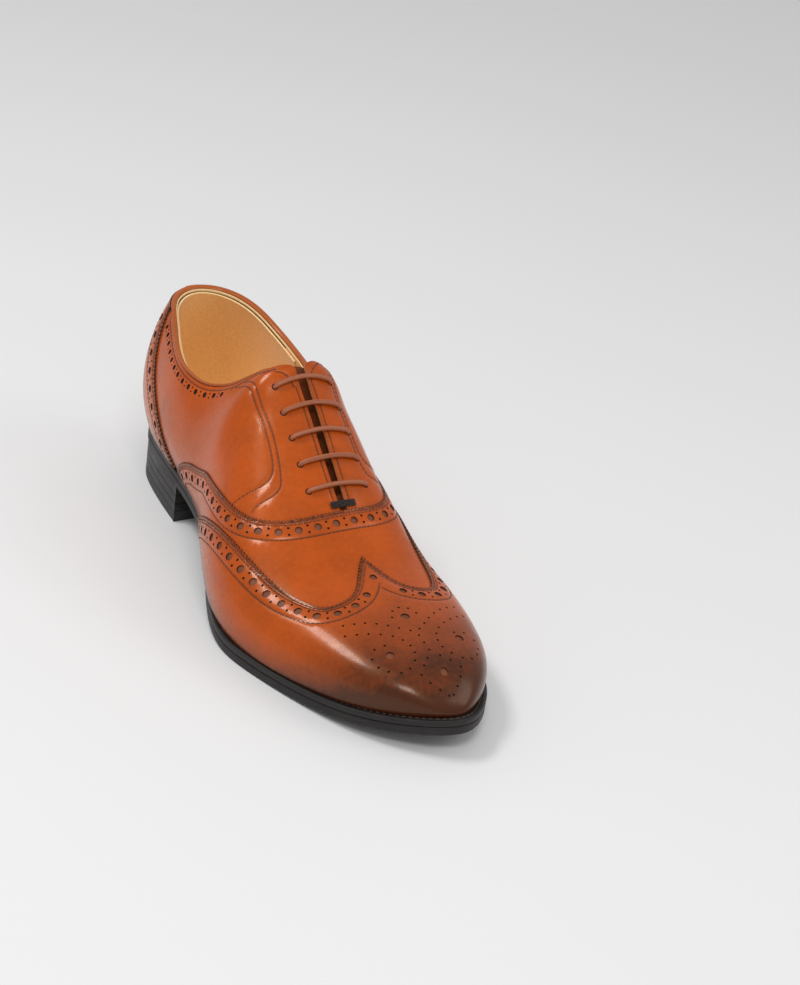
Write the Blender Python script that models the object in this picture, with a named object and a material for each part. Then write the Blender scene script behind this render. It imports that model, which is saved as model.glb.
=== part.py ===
"""A wingtip oxford shoe for a man's right foot, built as a shoemaker builds it.

The upper is a set of thin leather pieces, each a layer over the shape of one last.
Below it are the welt, the sole and a stacked heel, and a laced tongue closes the front.

Lengths here are in millimetres along the shoe: `s` runs from the back of the heel to the
toe, `x` is positive towards the big toe and `z` is the height over the floor. In the
scene the toe points along -Y and the scene is in metres.
"""

import math

import bmesh
import bpy
import numpy as np
from mathutils import Matrix, Vector

MM = 0.001
LENGTH = 300.0              # outsole, from the back of the heel to the tip of the toe
ORIGIN_S = 147.8            # the row frame's origin, along the shoe
ORIGIN_X = -5.68            # and across it
HEEL_X = 2.5                # middle of the heel's back
TIP_X = 5.4                 # tip of the toe

# Sole: half outlines at stations along the shoe
SOLE_S = (12, 35, 70, 110, 150, 185, 210, 240, 265, 285, 295)
SOLE_LATERAL = (-21.5, -28.5, -32.0, -36.5, -52.0, -61.0, -56.5, -46.5, -35.5, -20.5, -8.5)
SOLE_MEDIAL = (26.0, 34.0, 33.5, 28.0, 32.5, 43.5, 49.5, 46.0, 38.5, 26.5, 17.0)
BOTTOM_S = (0, 40, 72, 100, 130, 160, 195, 212, 240, 270, 300)
BOTTOM_Z = (21.5, 20.7, 20.3, 16.5, 9.5, 3.4, 0.0, 0.0, 1.3, 5.2, 11.5)
OUTSOLE_THICK = 4.7
WELT_THICK = 3.0
WELT_WIDTH = 11.0
GAP = 0.3                   # between pieces that touch
FEATHER = OUTSOLE_THICK + GAP + WELT_THICK + 0.5   # lower edge of the upper, over the sole's bottom
BREAST_S = 70.0             # front face of the heel
HEEL_LAYERS = (0.0, 6.0, 10.7, 15.4)               # undersides of the top piece and the lifts

# Last: the surface that the quarters lie on
LAST_BACK = 2.5
LAST_TIP = 292.5
LAST_S = (14, 35, 70, 110, 150, 185, 210, 240, 262, 278, 287)
FEATHER_LATERAL = (-20.3, -27.3, -31.0, -36.0, -50.0, -56.0, -52.0, -41.5, -31.0, -19.0, -8.5)
FEATHER_MEDIAL = (25.0, 32.8, 32.5, 26.5, 30.0, 39.5, 44.5, 41.5, 34.5, 24.5, 15.5)
BULGE_LATERAL = (3.5, 4.5, 6.0, 3.5, 1.5, 1.0, 1.0, 1.0, 1.0, 1.0, 0.8)
BULGE_MEDIAL = (3.0, 4.5, 6.0, 9.5, 8.5, 3.0, 1.0, 1.0, 1.0, 1.0, 0.8)
WIDEST_S = (0, 60, 110, 150, 185, 220, 260, 292.5)
WIDEST_HEIGHT = (24, 24, 22, 16, 11, 9, 8, 5)      # of the widest line, over the feather line
CREST_S = (2.5, 20, 40, 60, 80, 90, 100, 108, 116, 124, 135, 147, 158, 170, 180, 190, 201,
           215, 230, 243, 262, 276, 286)
CREST_FRONT = (104.5, 96.2, 87.0, 78.4, 69.2, 61.0, 53.2, 46.4, 42.0, 39.4, 37.6, 34.6, 31.2, 25.5)
CREST_LATERAL = (119, 114.5, 112, 109.5, 99.5, 98, 103, 108.5, 111.4) + CREST_FRONT
CREST_MEDIAL = (124, 122, 123, 122, 110, 103, 103.8, 108.5, 111.4) + CREST_FRONT
CREST_X_S = (0, 15, 60, 124, 170, 200, 245, 292.5)
CREST_X = (2.5, 4.0, 4.4, 3.6, 2.6, 2.2, 3.2, 5.4)
BACK_HEIGHT = (0, 22, 45, 75, 100)                 # profile of the heel's back
BACK_LEAN = (-0.5, -5.0, -4.5, 2.0, 8.0)
FULLNESS_S = (0, 60, 110, 150, 185, 220, 260, 292.5)
FULLNESS_LATERAL = (0.0, 0.0, 0.0, 0.0, 0.04, 0.10, 0.16, 0.2)
FULLNESS_MEDIAL = (0.0, 0.05, 0.12, 0.15, 0.14, 0.14, 0.16, 0.2)
WIDE_Q = 0.82               # share of the way from crest to feather at which the last is widest

# Edges of the upper's pieces. q is 0 on the crest and 1 on the feather line
TOPLINE_S = (2.5, 12, 20, 30, 40, 50, 60, 70, 80, 90, 100, 108, 113, 116.5)
TOPLINE_Z = (100.3, 98.8, 97.0, 93.8, 90.0, 87.2, 85.4, 84.6, 85.0, 88.5, 95.5, 103.3, 108.2, 111.2)
VAMP_Q = (0, 0.10, 0.2, 0.32, 0.45, 0.58, 0.70, 0.80, 0.88, 0.95, 1.0)
VAMP_S = (178.5, 178.2, 177, 173, 162.5, 142.5, 119.5, 99, 83.5, 74.5, 70)
WING_Q = (0, 0.04, 0.09, 0.17, 0.25, 0.33, 0.40, 0.46, 0.52, 0.60, 0.71, 0.85, 1.0)
WING_S = (199, 205.5, 214.5, 221.5, 223, 219.5, 205.5, 189, 174.5, 158.5, 142, 124, 108)
FOXING_ROW = (0, 0.25, 0.5, 0.75, 1.0)             # share of the way down from the topline
FOXING_S = (17, 27, 41, 55, 66)
SLIT_HALF_TOP = 2.5         # half the gap between the facings, at the top and at the throat
SLIT_HALF_THROAT = 1.8
SLIT_TOP_S = 113.0
THROAT_S = 176.0
FACING_END_S = 183.0
TONGUE_FIXED_S = 176.5      # the tongue turns about its front edge, at the throat
TONGUE_RISE = 0.9           # how far its top runs on, as a share of the step before it

# Layers of the upper, from inner to outer face, measured out from the last's surface
TONGUE_LINING_LAYER = (-11.3, -10.3)
TONGUE_LAYER = (-9.9, -7.8)
LINING_LAYER = (-4.1, -3.1)
STIFFENER_LAYER = (-2.6, -1.8)
QUARTER_LAYER = (-1.2, 0.0)
OVERLAY_LAYER = (0.4, 1.5)
WING_LAYER = (2.1, 3.2)

# Lacing
EYELET_S = (122.6, 134.0, 145.3, 156.7, 168.3)
EYELET_OFFSET = 14.6        # from the middle of the slit
EYELET_RADIUS = 2.1
STAY_OFFSET = 22.0
LACE_RADIUS = 1.2
BAR_OUT = 1.75              # middle of the lace over the facings
UNDER_OUT = -6.0            # and under them
TACK_START = 175.3          # bar of thread that holds the bottom of the slit
TACK_END = 177.0
TACK_HALF = 6.2

COLOUR_TAN = (0.36, 0.105, 0.022)
COLOUR_BROWN = (0.20, 0.055, 0.015)
COLOUR_LINING = (0.60, 0.31, 0.10)
COLOUR_EDGE = (0.035, 0.028, 0.024)


# --- shape of the last -------------------------------------------------------

def spline(knots, values, at):
    """Natural cubic spline through the values at the knots, held at its ends."""
    knots = np.asarray(knots, float)
    values = np.asarray(values, float)
    count = len(knots)
    step = np.diff(knots)
    matrix = np.eye(count)
    right = np.zeros(count)
    for i in range(1, count - 1):
        matrix[i, i - 1:i + 2] = step[i - 1], 2 * (step[i - 1] + step[i]), step[i]
        right[i] = 6 * ((values[i + 1] - values[i]) / step[i] - (values[i] - values[i - 1]) / step[i - 1])
    bend = np.linalg.solve(matrix, right)
    at = np.clip(np.asarray(at, float), knots[0], knots[-1])
    i = np.clip(np.searchsorted(knots, at) - 1, 0, count - 2)
    before = at - knots[i]
    after = knots[i + 1] - at
    width = step[i]
    return (bend[i] * after ** 3 / (6 * width) + bend[i + 1] * before ** 3 / (6 * width)
            + (values[i] / width - bend[i] * width / 6) * after
            + (values[i + 1] / width - bend[i + 1] * width / 6) * before)


def turn_of(s, start, end):
    """Share of a half turn whose cosine spacing lands on s, so that both ends come out round."""
    share = (np.asarray(s, float) - start) / (end - start)
    return np.arccos(np.clip(1 - 2 * share, -1, 1)) / math.pi


def sole_turn(s):
    return turn_of(s, 0.0, LENGTH)


def last_turn(s):
    return turn_of(s, LAST_BACK, LAST_TIP)


def last_s(turn):
    return LAST_BACK + (LAST_TIP - LAST_BACK) * (1 - np.cos(math.pi * np.asarray(turn, float))) / 2


def sole_edge(s, side):
    """x of the sole's edge. Side is -1 for lateral and 1 for medial."""
    half = SOLE_LATERAL if side < 0 else SOLE_MEDIAL
    knots = [0, *sole_turn(SOLE_S), 1]
    return spline(knots, [HEEL_X, *half, TIP_X], sole_turn(s))


def bottom_height(s):
    return np.maximum(spline(BOTTOM_S, BOTTOM_Z, s), 0)


def feather_height(s):
    return bottom_height(s) + FEATHER


LAST_KNOTS = [0, *last_turn(LAST_S), 1]


def feather_edge(turn, side):
    half = FEATHER_LATERAL if side < 0 else FEATHER_MEDIAL
    return spline(LAST_KNOTS, [HEEL_X, *half, TIP_X], turn)


def widest_edge(turn, side):
    half = np.asarray(FEATHER_LATERAL if side < 0 else FEATHER_MEDIAL, float)
    bulge = np.asarray(BULGE_LATERAL if side < 0 else BULGE_MEDIAL, float)
    return spline(LAST_KNOTS, [HEEL_X, *(half + side * bulge), TIP_X], turn)


def crest_height(turn, side):
    high = CREST_LATERAL if side < 0 else CREST_MEDIAL
    knots = [*last_turn(CREST_S), 1]
    return spline(knots, [*high, float(feather_height(LAST_TIP))], turn)


def last_point(turn, w):
    """Points (x, s, z) of the last. w is -1 on the lateral feather line, 0 on the crest and
    1 on the medial feather line. A turn below 0 carries on round the heel to the other side."""
    turn, w = np.broadcast_arrays(np.asarray(turn, float), np.asarray(w, float))
    w = np.where(turn < 0, -w, w)
    turn = np.abs(turn)
    turn = np.where(turn > 1, 2 - turn, turn)
    q = np.abs(w)
    lateral = w < 0
    s = last_s(turn)
    feather_x = np.where(lateral, feather_edge(turn, -1), feather_edge(turn, 1))
    wide_x = np.where(lateral, widest_edge(turn, -1), widest_edge(turn, 1))
    crest_middle = (crest_height(turn, -1) + crest_height(turn, 1)) / 2
    crest_side = np.where(lateral, crest_height(turn, -1), crest_height(turn, 1)) - crest_middle
    from_crest = np.clip(q / 0.25, 0, 1)
    crest_z = crest_middle + crest_side * from_crest * from_crest * (3 - 2 * from_crest)
    low = feather_height(s)
    middle = spline(CREST_X_S, CREST_X, s)
    span = np.clip((widest_edge(turn, 1) - widest_edge(turn, -1)) / 30.0, 0, 1)
    ends_x = np.where(s < 150, HEEL_X, TIP_X)
    middle = ends_x + (middle - ends_x) * span * span * (3 - 2 * span)
    high = np.maximum(crest_z - low, 0)
    wide_high = np.minimum(spline(WIDEST_S, WIDEST_HEIGHT, s), 0.45 * high)

    full = np.where(lateral, spline(FULLNESS_S, FULLNESS_LATERAL, s),
                    spline(FULLNESS_S, FULLNESS_MEDIAL, s))
    angle = np.clip(q / WIDE_Q, 0, 1) * math.pi / 2
    across = np.sin(angle) * (1 + full * np.cos(angle) ** 2)
    up = np.cos(angle) * (1 + full * np.sin(angle) ** 2)
    x = middle + (wide_x - middle) * across
    height = wide_high + (high - wide_high) * up
    tuck = np.clip((q - WIDE_Q) / (1 - WIDE_Q), 0, 1)
    below = q > WIDE_Q
    x = np.where(below, wide_x - (wide_x - feather_x) * tuck ** 2, x)
    height = np.where(below, wide_high * (1 - tuck), height)

    near_heel = np.clip(1 - (s - LAST_BACK) / 75.0, 0, 1)
    near_heel = near_heel * near_heel * (3 - 2 * near_heel)
    lean = spline(BACK_HEIGHT, BACK_LEAN, np.clip(height, 0, 100)) * near_heel
    return np.stack([x, s + lean, low + height], -1)


def unit(vectors):
    return vectors / np.maximum(np.linalg.norm(vectors, axis=-1, keepdims=True), 1e-12)


def last_normal(turn, w):
    """Outward unit normals of the last."""
    turn, w = np.broadcast_arrays(np.asarray(turn, float), np.asarray(w, float))
    inside = np.minimum(turn, 0.985)
    step = 1e-4
    along = last_point(inside + step, w) - last_point(inside - step, w)
    edge = np.clip(w, -1 + step, 1 - step)
    down = last_point(inside, edge + step) - last_point(inside, edge - step)
    normal = unit(np.cross(down, along))
    pole = np.array([0.0, 1.0, 0.0])
    share = np.clip((turn - 0.985) / 0.015, 0, 1)[..., None]
    return unit(normal * (1 - share) + pole * share)


def over_last(turn, w, out):
    """Points at a distance out from the last's surface, and never below the top of the welt."""
    points = last_point(turn, w) + last_normal(turn, w) * np.asarray(out, float)[..., None]
    points[..., 2] = np.maximum(points[..., 2], bottom_height(points[..., 1]) + FEATHER)
    return points


def q_at_height(turn, side, height):
    """Where the last's section crosses a height, above its widest line."""
    low = np.zeros_like(turn)
    high = np.full_like(turn, WIDE_Q)
    for _ in range(40):
        middle = (low + high) / 2
        above = last_point(turn, side * middle)[..., 2] > height
        low = np.where(above, middle, low)
        high = np.where(above, high, middle)
    return (low + high) / 2


def q_at_offset(turn, side, offset):
    """Where the last is a distance to one side of the crest."""
    turn = np.abs(np.asarray(turn, float))
    half = np.abs(widest_edge(turn, side) - spline(CREST_X_S, CREST_X, last_s(turn)))
    return WIDE_Q * np.arcsin(np.clip(offset / np.maximum(half, 1e-6), 0, 1)) / (math.pi / 2)


def top_q(turn, side, below=0.0):
    """Upper edge of the quarters: the topline round the ankle, then the slit down the front."""
    turn = np.abs(np.asarray(turn, float))
    s = last_s(turn)
    q = q_at_height(turn, side, spline(TOPLINE_S, TOPLINE_Z, s) - below)
    share = np.clip((s - SLIT_TOP_S) / (THROAT_S - SLIT_TOP_S), 0, 1)
    slit = q_at_offset(turn, side, SLIT_HALF_TOP + (SLIT_HALF_THROAT - SLIT_HALF_TOP) * share)
    return np.maximum(np.where(s > TOPLINE_S[-1], 0, q), np.where(s > 100, slit, 0))


def vamp_edge(q):
    return spline(VAMP_Q, VAMP_S, q)


def wing_edge(q):
    return spline(WING_Q, WING_S, q)


# --- making solids -----------------------------------------------------------

def scene_point(point):
    """From (x, s, z) in millimetres to the scene's metres."""
    x, s, z = point
    return ((x - ORIGIN_X) * MM, (ORIGIN_S - s) * MM, z * MM)


def material(name, colour, roughness, metallic=0.0):
    made = bpy.data.materials.new(name)
    made.use_nodes = True
    shader = made.node_tree.nodes["Principled BSDF"]
    shader.inputs["Base Color"].default_value = (*colour, 1)
    shader.inputs["Roughness"].default_value = roughness
    shader.inputs["Metallic"].default_value = metallic
    made.diffuse_color = (*colour, 1)
    made.roughness = roughness
    made.metallic = metallic
    return made


def add_object(name, mesh, finish, collection):
    made = bpy.data.objects.new(name, mesh)
    if finish:
        mesh.materials.append(finish)
    collection.objects.link(made)
    return made


def loft(name, rings, finish, collection, closed=False):
    """A solid through rings of points. Each ring has as many points out as back, so that
    a strip of quads closes each end."""
    builder = bmesh.new()
    corners = [[builder.verts.new(scene_point(p)) for p in ring] for ring in rings]
    count = len(corners[0])
    following = corners[1:] + corners[:1] if closed else corners[1:]
    for ring, after in zip(corners, following):
        for k in range(count):
            m = (k + 1) % count
            builder.faces.new((ring[k], ring[m], after[m], after[k]))
    if not closed:
        for ring in (corners[0], corners[-1]):
            for k in range(count // 2 - 1):
                builder.faces.new((ring[k], ring[k + 1], ring[count - 2 - k], ring[count - 1 - k]))
    bmesh.ops.remove_doubles(builder, verts=builder.verts, dist=1e-6)
    bmesh.ops.recalc_face_normals(builder, faces=builder.faces)
    if builder.calc_volume(signed=True) < 0:
        bmesh.ops.reverse_faces(builder, faces=builder.faces)
    mesh = bpy.data.meshes.new(name)
    builder.to_mesh(mesh)
    builder.free()
    return add_object(name, mesh, finish, collection)


def layer_ring(turns, ws, layer):
    """Points out along one row of a layer's outer face and back along its inner face."""
    turns, ws = np.broadcast_arrays(np.asarray(turns, float), np.asarray(ws, float))
    outer = over_last(turns, ws, np.full(turns.shape, layer[1]))
    inner = over_last(turns, ws, np.full(turns.shape, layer[0]))
    return np.array([*outer, *inner[::-1]])


def leather(name, rows, layer, finish, collection):
    """A piece of leather over the last. Each row is (turns, ws); layer is (inner, outer)."""
    rings = [layer_ring(turns, ws, layer) for turns, ws in rows]
    return loft(name, rings, finish, collection)


def slab(name, turns, low, high, finish, collection, inset=0.0, columns=4, outline=None):
    """A flat layer of the sole, between two heights that are functions of s."""
    rings = []
    for turn in turns:
        s = LENGTH * (1 - math.cos(math.pi * turn)) / 2
        left, right = (outline or sole_outline)(s, inset)
        xs = np.linspace(left, right, columns + 1)
        top = [(x, s, high(s)) for x in xs]
        bottom = [(x, s, low(s)) for x in xs[::-1]]
        rings.append([*top, *bottom])
    return loft(name, rings, finish, collection)


def sole_outline(s, inset):
    left, right = float(sole_edge(s, -1)), float(sole_edge(s, 1))
    middle = (left + right) / 2
    return min(left + inset, middle), max(right - inset, middle)


def insole_outline(s, inset):
    """Outline inside the upper: the feather line moved in, on a shorter length."""
    start, end = LAST_BACK + inset, LAST_TIP - inset
    turn = turn_of(np.clip(s, start, end), start, end)
    share = last_turn(LAST_BACK + (s - start) * (LAST_TIP - LAST_BACK) / (end - start))
    left, right = float(feather_edge(share, -1)), float(feather_edge(share, 1))
    trim = inset * math.sin(math.pi * float(turn)) ** 0.5 if 0 < float(turn) < 1 else 0
    return left + trim, right - trim


def cylinder(name, radius, low, high, x, s, finish, collection, sides=12, head=None):
    """An upright cylinder, with a wider head at its lower end if head is (radius, height)."""
    profile = [(0, low), (radius, low), (radius, high), (0, high)]
    if head:
        profile = [(0, low), (head[0], low), (head[0], low + head[1]), (radius, low + head[1]),
                   (radius, high), (0, high)]
    builder = bmesh.new()
    centre_x, centre_y, _ = scene_point((x, s, 0))
    points = [builder.verts.new((r * MM + centre_x, centre_y, z * MM)) for r, z in profile]
    edges = [builder.edges.new(pair) for pair in zip(points, points[1:])]
    bmesh.ops.spin(builder, geom=points + edges, cent=(centre_x, centre_y, 0), axis=(0, 0, 1),
                   angle=math.tau, steps=sides, use_merge=True)
    bmesh.ops.remove_doubles(builder, verts=builder.verts, dist=1e-6)
    bmesh.ops.recalc_face_normals(builder, faces=builder.faces)
    mesh = bpy.data.meshes.new(name)
    builder.to_mesh(mesh)
    builder.free()
    return add_object(name, mesh, finish, collection)


def cut(target, cutter):
    boolean = target.modifiers.new("cut_" + cutter.name, "BOOLEAN")
    boolean.operation = "DIFFERENCE"
    boolean.solver = "EXACT"
    boolean.object = cutter


def tube(name, points, radius, finish, collection, resolution=1):
    """A round cord through a list of (x, s, z) points."""
    curve = bpy.data.curves.new(name, "CURVE")
    curve.dimensions = "3D"
    curve.bevel_depth = radius * MM
    curve.bevel_resolution = resolution
    curve.use_fill_caps = True
    route = curve.splines.new("POLY")
    route.points.add(len(points) - 1)
    for knot, point in zip(route.points, points):
        knot.co = (*scene_point(point), 1)
    made = bpy.data.objects.new(name, curve)
    curve.materials.append(finish)
    collection.objects.link(made)
    return made


# --- the pieces --------------------------------------------------------------

def build_sole(collection, cutters):
    sole_leather = material("sole_leather", COLOUR_EDGE, 0.35)
    stack_leather = material("heel_stack_leather", COLOUR_EDGE, 0.35)
    rubber = material("heel_rubber", (0.02, 0.02, 0.02), 0.6)
    cork = material("cork", (0.42, 0.26, 0.13), 0.9)
    steel = material("steel", (0.6, 0.6, 0.6), 0.35, 1.0)
    board = material("insole_leather", (0.55, 0.38, 0.22), 0.8)
    cream = material("sock_leather", (0.78, 0.62, 0.40), 0.6)

    turns = np.linspace(0, 1, 41)
    slab("outsole", turns, bottom_height, lambda s: bottom_height(s) + OUTSOLE_THICK,
         sole_leather, collection)

    welt_low = OUTSOLE_THICK + GAP
    around = []
    for side, path in ((-1, np.linspace(0, 1, 41)), (1, np.linspace(1, 0, 41)[1:-1])):
        around += [(side, turn) for turn in path]
    rings = []
    for side, turn in around:
        s = LENGTH * (1 - math.cos(math.pi * turn)) / 2
        inner_s = WELT_WIDTH + (LENGTH - 2 * WELT_WIDTH) * s / LENGTH
        x = float(sole_edge(s, side))
        middle = (float(sole_edge(s, -1)) + float(sole_edge(s, 1))) / 2
        shrink = 1 - WELT_WIDTH / 36.0
        inner_x = middle + (x - middle) * shrink
        rings.append([
            (x, s, bottom_height(s) + welt_low),
            (inner_x, inner_s, bottom_height(inner_s) + welt_low),
            (inner_x, inner_s, bottom_height(inner_s) + welt_low + WELT_THICK),
            (x, s, bottom_height(s) + welt_low + WELT_THICK)])
    loft("welt", rings, sole_leather, collection, closed=True)

    filler_start, filler_end = 68.0, 282.0
    filler_turns = np.linspace(float(sole_turn(filler_start)), float(sole_turn(filler_end)), 20)
    slab("cork_filler", filler_turns, lambda s: bottom_height(s) + welt_low,
         lambda s: bottom_height(s) + 6.6, cork, collection,
         outline=lambda s, inset: inside_welt(s))
    shank_turns = np.linspace(float(sole_turn(40)), float(sole_turn(150)), 12)
    slab("shank", shank_turns, lambda s: bottom_height(s) + 6.9,
         lambda s: bottom_height(s) + 8.1, steel, collection, columns=2,
         outline=lambda s, inset: (float(shank_middle(s)) - 7, float(shank_middle(s)) + 7))
    inner_turns = np.linspace(float(sole_turn(LAST_BACK + 5.6)), float(sole_turn(LAST_TIP - 5.6)), 29)
    slab("insole", inner_turns, lambda s: bottom_height(s) + 8.6,
         lambda s: bottom_height(s) + 10.8, board, collection, inset=5.6, outline=insole_outline)
    sock_turns = np.linspace(float(sole_turn(LAST_BACK + 6.5)), float(sole_turn(LAST_TIP - 6.5)), 29)
    slab("sock_liner", sock_turns, lambda s: bottom_height(s) + 11.1,
         lambda s: bottom_height(s) + 12.1, cream, collection, inset=6.5, outline=insole_outline)

    heel_turns = np.linspace(0, float(sole_turn(BREAST_S)), 12)
    names = ("heel_top_piece", "heel_lift_1", "heel_lift_2", "heel_lift_3")
    tops = HEEL_LAYERS[1:] + (None,)
    for name, low, top in zip(names, HEEL_LAYERS, tops):
        floor = low + (GAP if low else 0)
        slab(name, heel_turns, lambda s, z=floor: z,
             (lambda s, z=top: z) if top else (lambda s: bottom_height(s) - GAP),
             rubber if name == "heel_top_piece" else stack_leather, collection, inset=0.4)

    middle = HEEL_X - 0.5
    nail_places = [(middle, 8.0), (middle - 17, 28.0), (middle + 19, 28.0),
                   (middle - 20, 56.0), (middle + 20, 56.0)]
    for number, (x, s) in enumerate(nail_places, 1):
        nail = cylinder(f"heel_nail_{number}", 0.9, 0.4, 9.4, x, s, steel, collection, 10, (1.9, 0.9))
        hole = cylinder(f"nail_hole_{number}", 1.25, -1, 9.8, x, s, None, cutters, 10, (2.3, 2.6))
        for layer in ("heel_top_piece", "heel_lift_1"):
            cut(bpy.data.objects[layer], hole)


def inside_welt(s):
    """Edges of the space inside the welt."""
    outer_s = (s - WELT_WIDTH) * LENGTH / (LENGTH - 2 * WELT_WIDTH)
    left, right = float(sole_edge(outer_s, -1)), float(sole_edge(outer_s, 1))
    middle = (left + right) / 2
    shrink = 1 - WELT_WIDTH / 36.0
    return middle + (left - middle) * shrink + 0.5, middle + (right - middle) * shrink - 0.5


def shank_middle(s):
    return spline((40, 95, 150), (1.0, -3.0, -8.0), s)


def quarter_rows(side, stations, lower, below):
    rows = []
    for s, low in zip(stations, lower):
        turn = float(last_turn(s))
        top = float(top_q(np.array([turn]), side, below)[0])
        rows.append((turn, side * (top + (low - top) * np.linspace(0, 1, 10) ** 1.2)))
    return rows


def build_upper(collection, cutters):
    tan = material("calf_tan", COLOUR_TAN, 0.3)
    brown = material("calf_brown", COLOUR_BROWN, 0.35)
    lining = material("lining_leather", COLOUR_LINING, 0.6)
    board = material("stiffener_board", (0.5, 0.36, 0.22), 0.9)

    ws = np.sin(np.linspace(-1, 1, 33) * math.pi / 2) * 0.25 + np.linspace(-1, 1, 33) * 0.75
    wing_start = last_turn(wing_edge(np.abs(ws)))
    leather("wing_cap", [(wing_start + (1 - wing_start) * r, ws) for r in np.linspace(0, 1, 12)],
            WING_LAYER, tan, collection)
    vamp_start = last_turn(vamp_edge(np.abs(ws)))
    vamp_end = last_turn(wing_edge(np.abs(ws)) + 9)
    leather("vamp", [(vamp_start + (vamp_end - vamp_start) * r, ws) for r in np.linspace(0, 1, 8)],
            OVERLAY_LAYER, tan, collection)

    puff_ws = np.linspace(-1, 1, 19)
    puff_start = last_turn(240 + 6 * puff_ws ** 2)
    leather("toe_puff", [(puff_start + (1 - puff_start) * r, puff_ws) for r in np.linspace(0, 1, 6)],
            QUARTER_LAYER, board, collection)

    # The quarters run under the vamp at the front, so their lower edge leaves the feather there
    edge_q = np.linspace(0, 1, 101)
    edge_s = vamp_edge(edge_q) + 8
    back = float(last_s(0.006))
    stations = [back, 3.3, 5, 8, 12, 17, 24, 32, 42, 52, 62, 72, 78, 84, 91, 99, 107, 113, 119, 127, 136, 145,
                154, 163, 171, 177, 181, FACING_END_S]
    lower = [1.0 if s < edge_s[-1] else float(np.interp(-s, -edge_s, edge_q)) for s in stations]
    for side, name in ((-1, "lateral"), (1, "medial")):
        leather(f"quarter_{name}", quarter_rows(side, stations, lower, 1.6), QUARTER_LAYER, tan,
                collection)

        rows = []
        for r in np.linspace(0, 1, 9):
            end = float(last_turn(spline(FOXING_ROW, FOXING_S, r)))
            turns = np.linspace(0.03, end, 8)
            top = top_q(turns, side, 1.6)
            rows.append((turns, side * (top + (1 - top) * r)))
        leather(f"heel_foxing_{name}", rows, OVERLAY_LAYER, tan, collection)

        stay = []
        for s in np.linspace(119, 181, 11):
            turn = float(last_turn(s))
            top = float(top_q(np.array([turn]), side)[0])
            edge = float(q_at_offset(turn, side, STAY_OFFSET))
            stay.append((turn, side * np.linspace(top, edge, 6)))
        leather(f"eyelet_stay_{name}", stay, STIFFENER_LAYER, board, collection)

        lining_s = [60, 70, 80, 90, 99, 107, 113, 119, 130, 142, 154, 163, 170]
        leather(f"quarter_lining_{name}", quarter_rows(side, lining_s, [1.0] * len(lining_s), 1.6),
                LINING_LAYER, lining, collection)

    wrap = np.linspace(-1, 1, 23)
    for name, end_s, layer, finish, below in (
            ("heel_lining", 59.0, LINING_LAYER, lining, 1.6),
            ("heel_counter", 66.0, STIFFENER_LAYER, board, 14.0)):
        rows = []
        for turn in wrap * float(last_turn(end_s)):
            side = -1 if turn < 0 else 1
            top = float(top_q(np.array([turn]), side, below)[0])
            rows.append((abs(turn), side * np.linspace(top, 1, 8)))
        leather(name, rows, layer, finish, collection)

    rows = []
    for turn in np.linspace(-0.026, 0.026, 5):
        top = float(top_q(np.array([turn]), 1, 1.6)[0])
        rows.append((turn, np.linspace(top, 1, 9)))
    leather("back_strip", rows, OVERLAY_LAYER, tan, collection)

    toe_ws = np.linspace(-1, 1, 25)
    start = last_turn(np.where(np.abs(toe_ws) < 0.03, 172.0, 171.0))
    leather("vamp_lining", [(start + (1 - start) * r, toe_ws) for r in np.linspace(0, 1, 11)],
            LINING_LAYER, lining, collection)

    # The tongue hangs under the slit, fixed at its front end. Its top runs on straight
    tongue_s = np.array([120, 126, 132, 139, 146, 154, 162, 170, TONGUE_FIXED_S])
    tongue_half = np.array([13, 15.5, 17.5, 19, 20, 21, 22, 22, 22])
    for name, layer, finish, trim in (("tongue", TONGUE_LAYER, brown, 1.0),
                                      ("tongue_lining", TONGUE_LINING_LAYER, lining, 0.94)):
        rings = []
        for s, half in zip(tongue_s, tongue_half * trim):
            turn = float(last_turn(s))
            left, right = float(q_at_offset(turn, -1, half)), float(q_at_offset(turn, 1, half))
            rings.append(layer_ring(turn, np.linspace(-left, right, 9), layer))
        top = rings[0] + TONGUE_RISE * (rings[0] - rings[1])
        loft(name, [top, *rings], finish, collection)
        hinge_origin(bpy.data.objects[name])

    # A rolled strip of thin leather covers the edge of the topline
    rings = []
    path = [(-1, t) for t in np.linspace(float(last_turn(112.0)), 0, 22)]
    path += [(1, t) for t in np.linspace(0, float(last_turn(112.0)), 22)[1:]]
    angles = np.arange(10) * math.tau / 10
    for side, turn in path:
        turn = np.array([turn])
        q = top_q(turn, side)
        point = over_last(turn, side * q, np.array([-1.15]))[0]
        out = last_normal(turn, side * q)[0]
        up = unit(last_point(turn, side * (q - 0.005)) - last_point(turn, side * q))[0]
        rings.append([point + 2.8 * math.cos(a) * out + 1.15 * math.sin(a) * up for a in angles])
    loft("topline_binding", rings, brown, collection)


def hinge_origin(piece):
    """Puts the piece's origin on the axis that the tongue turns about, at the throat."""
    middle = (TONGUE_LAYER[0] + TONGUE_LAYER[1]) / 2
    axis = Vector(scene_point(over(TONGUE_FIXED_S, 1, 0, middle)))
    piece.data.transform(Matrix.Translation(-axis))
    piece.location = axis


def over(s, side, offset, out):
    """A point over the last, a distance to one side of the crest."""
    turn = np.array([float(last_turn(s))])
    q = q_at_offset(turn, side, abs(offset))
    return over_last(turn, side * q, np.array([out]))[0]


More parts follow.
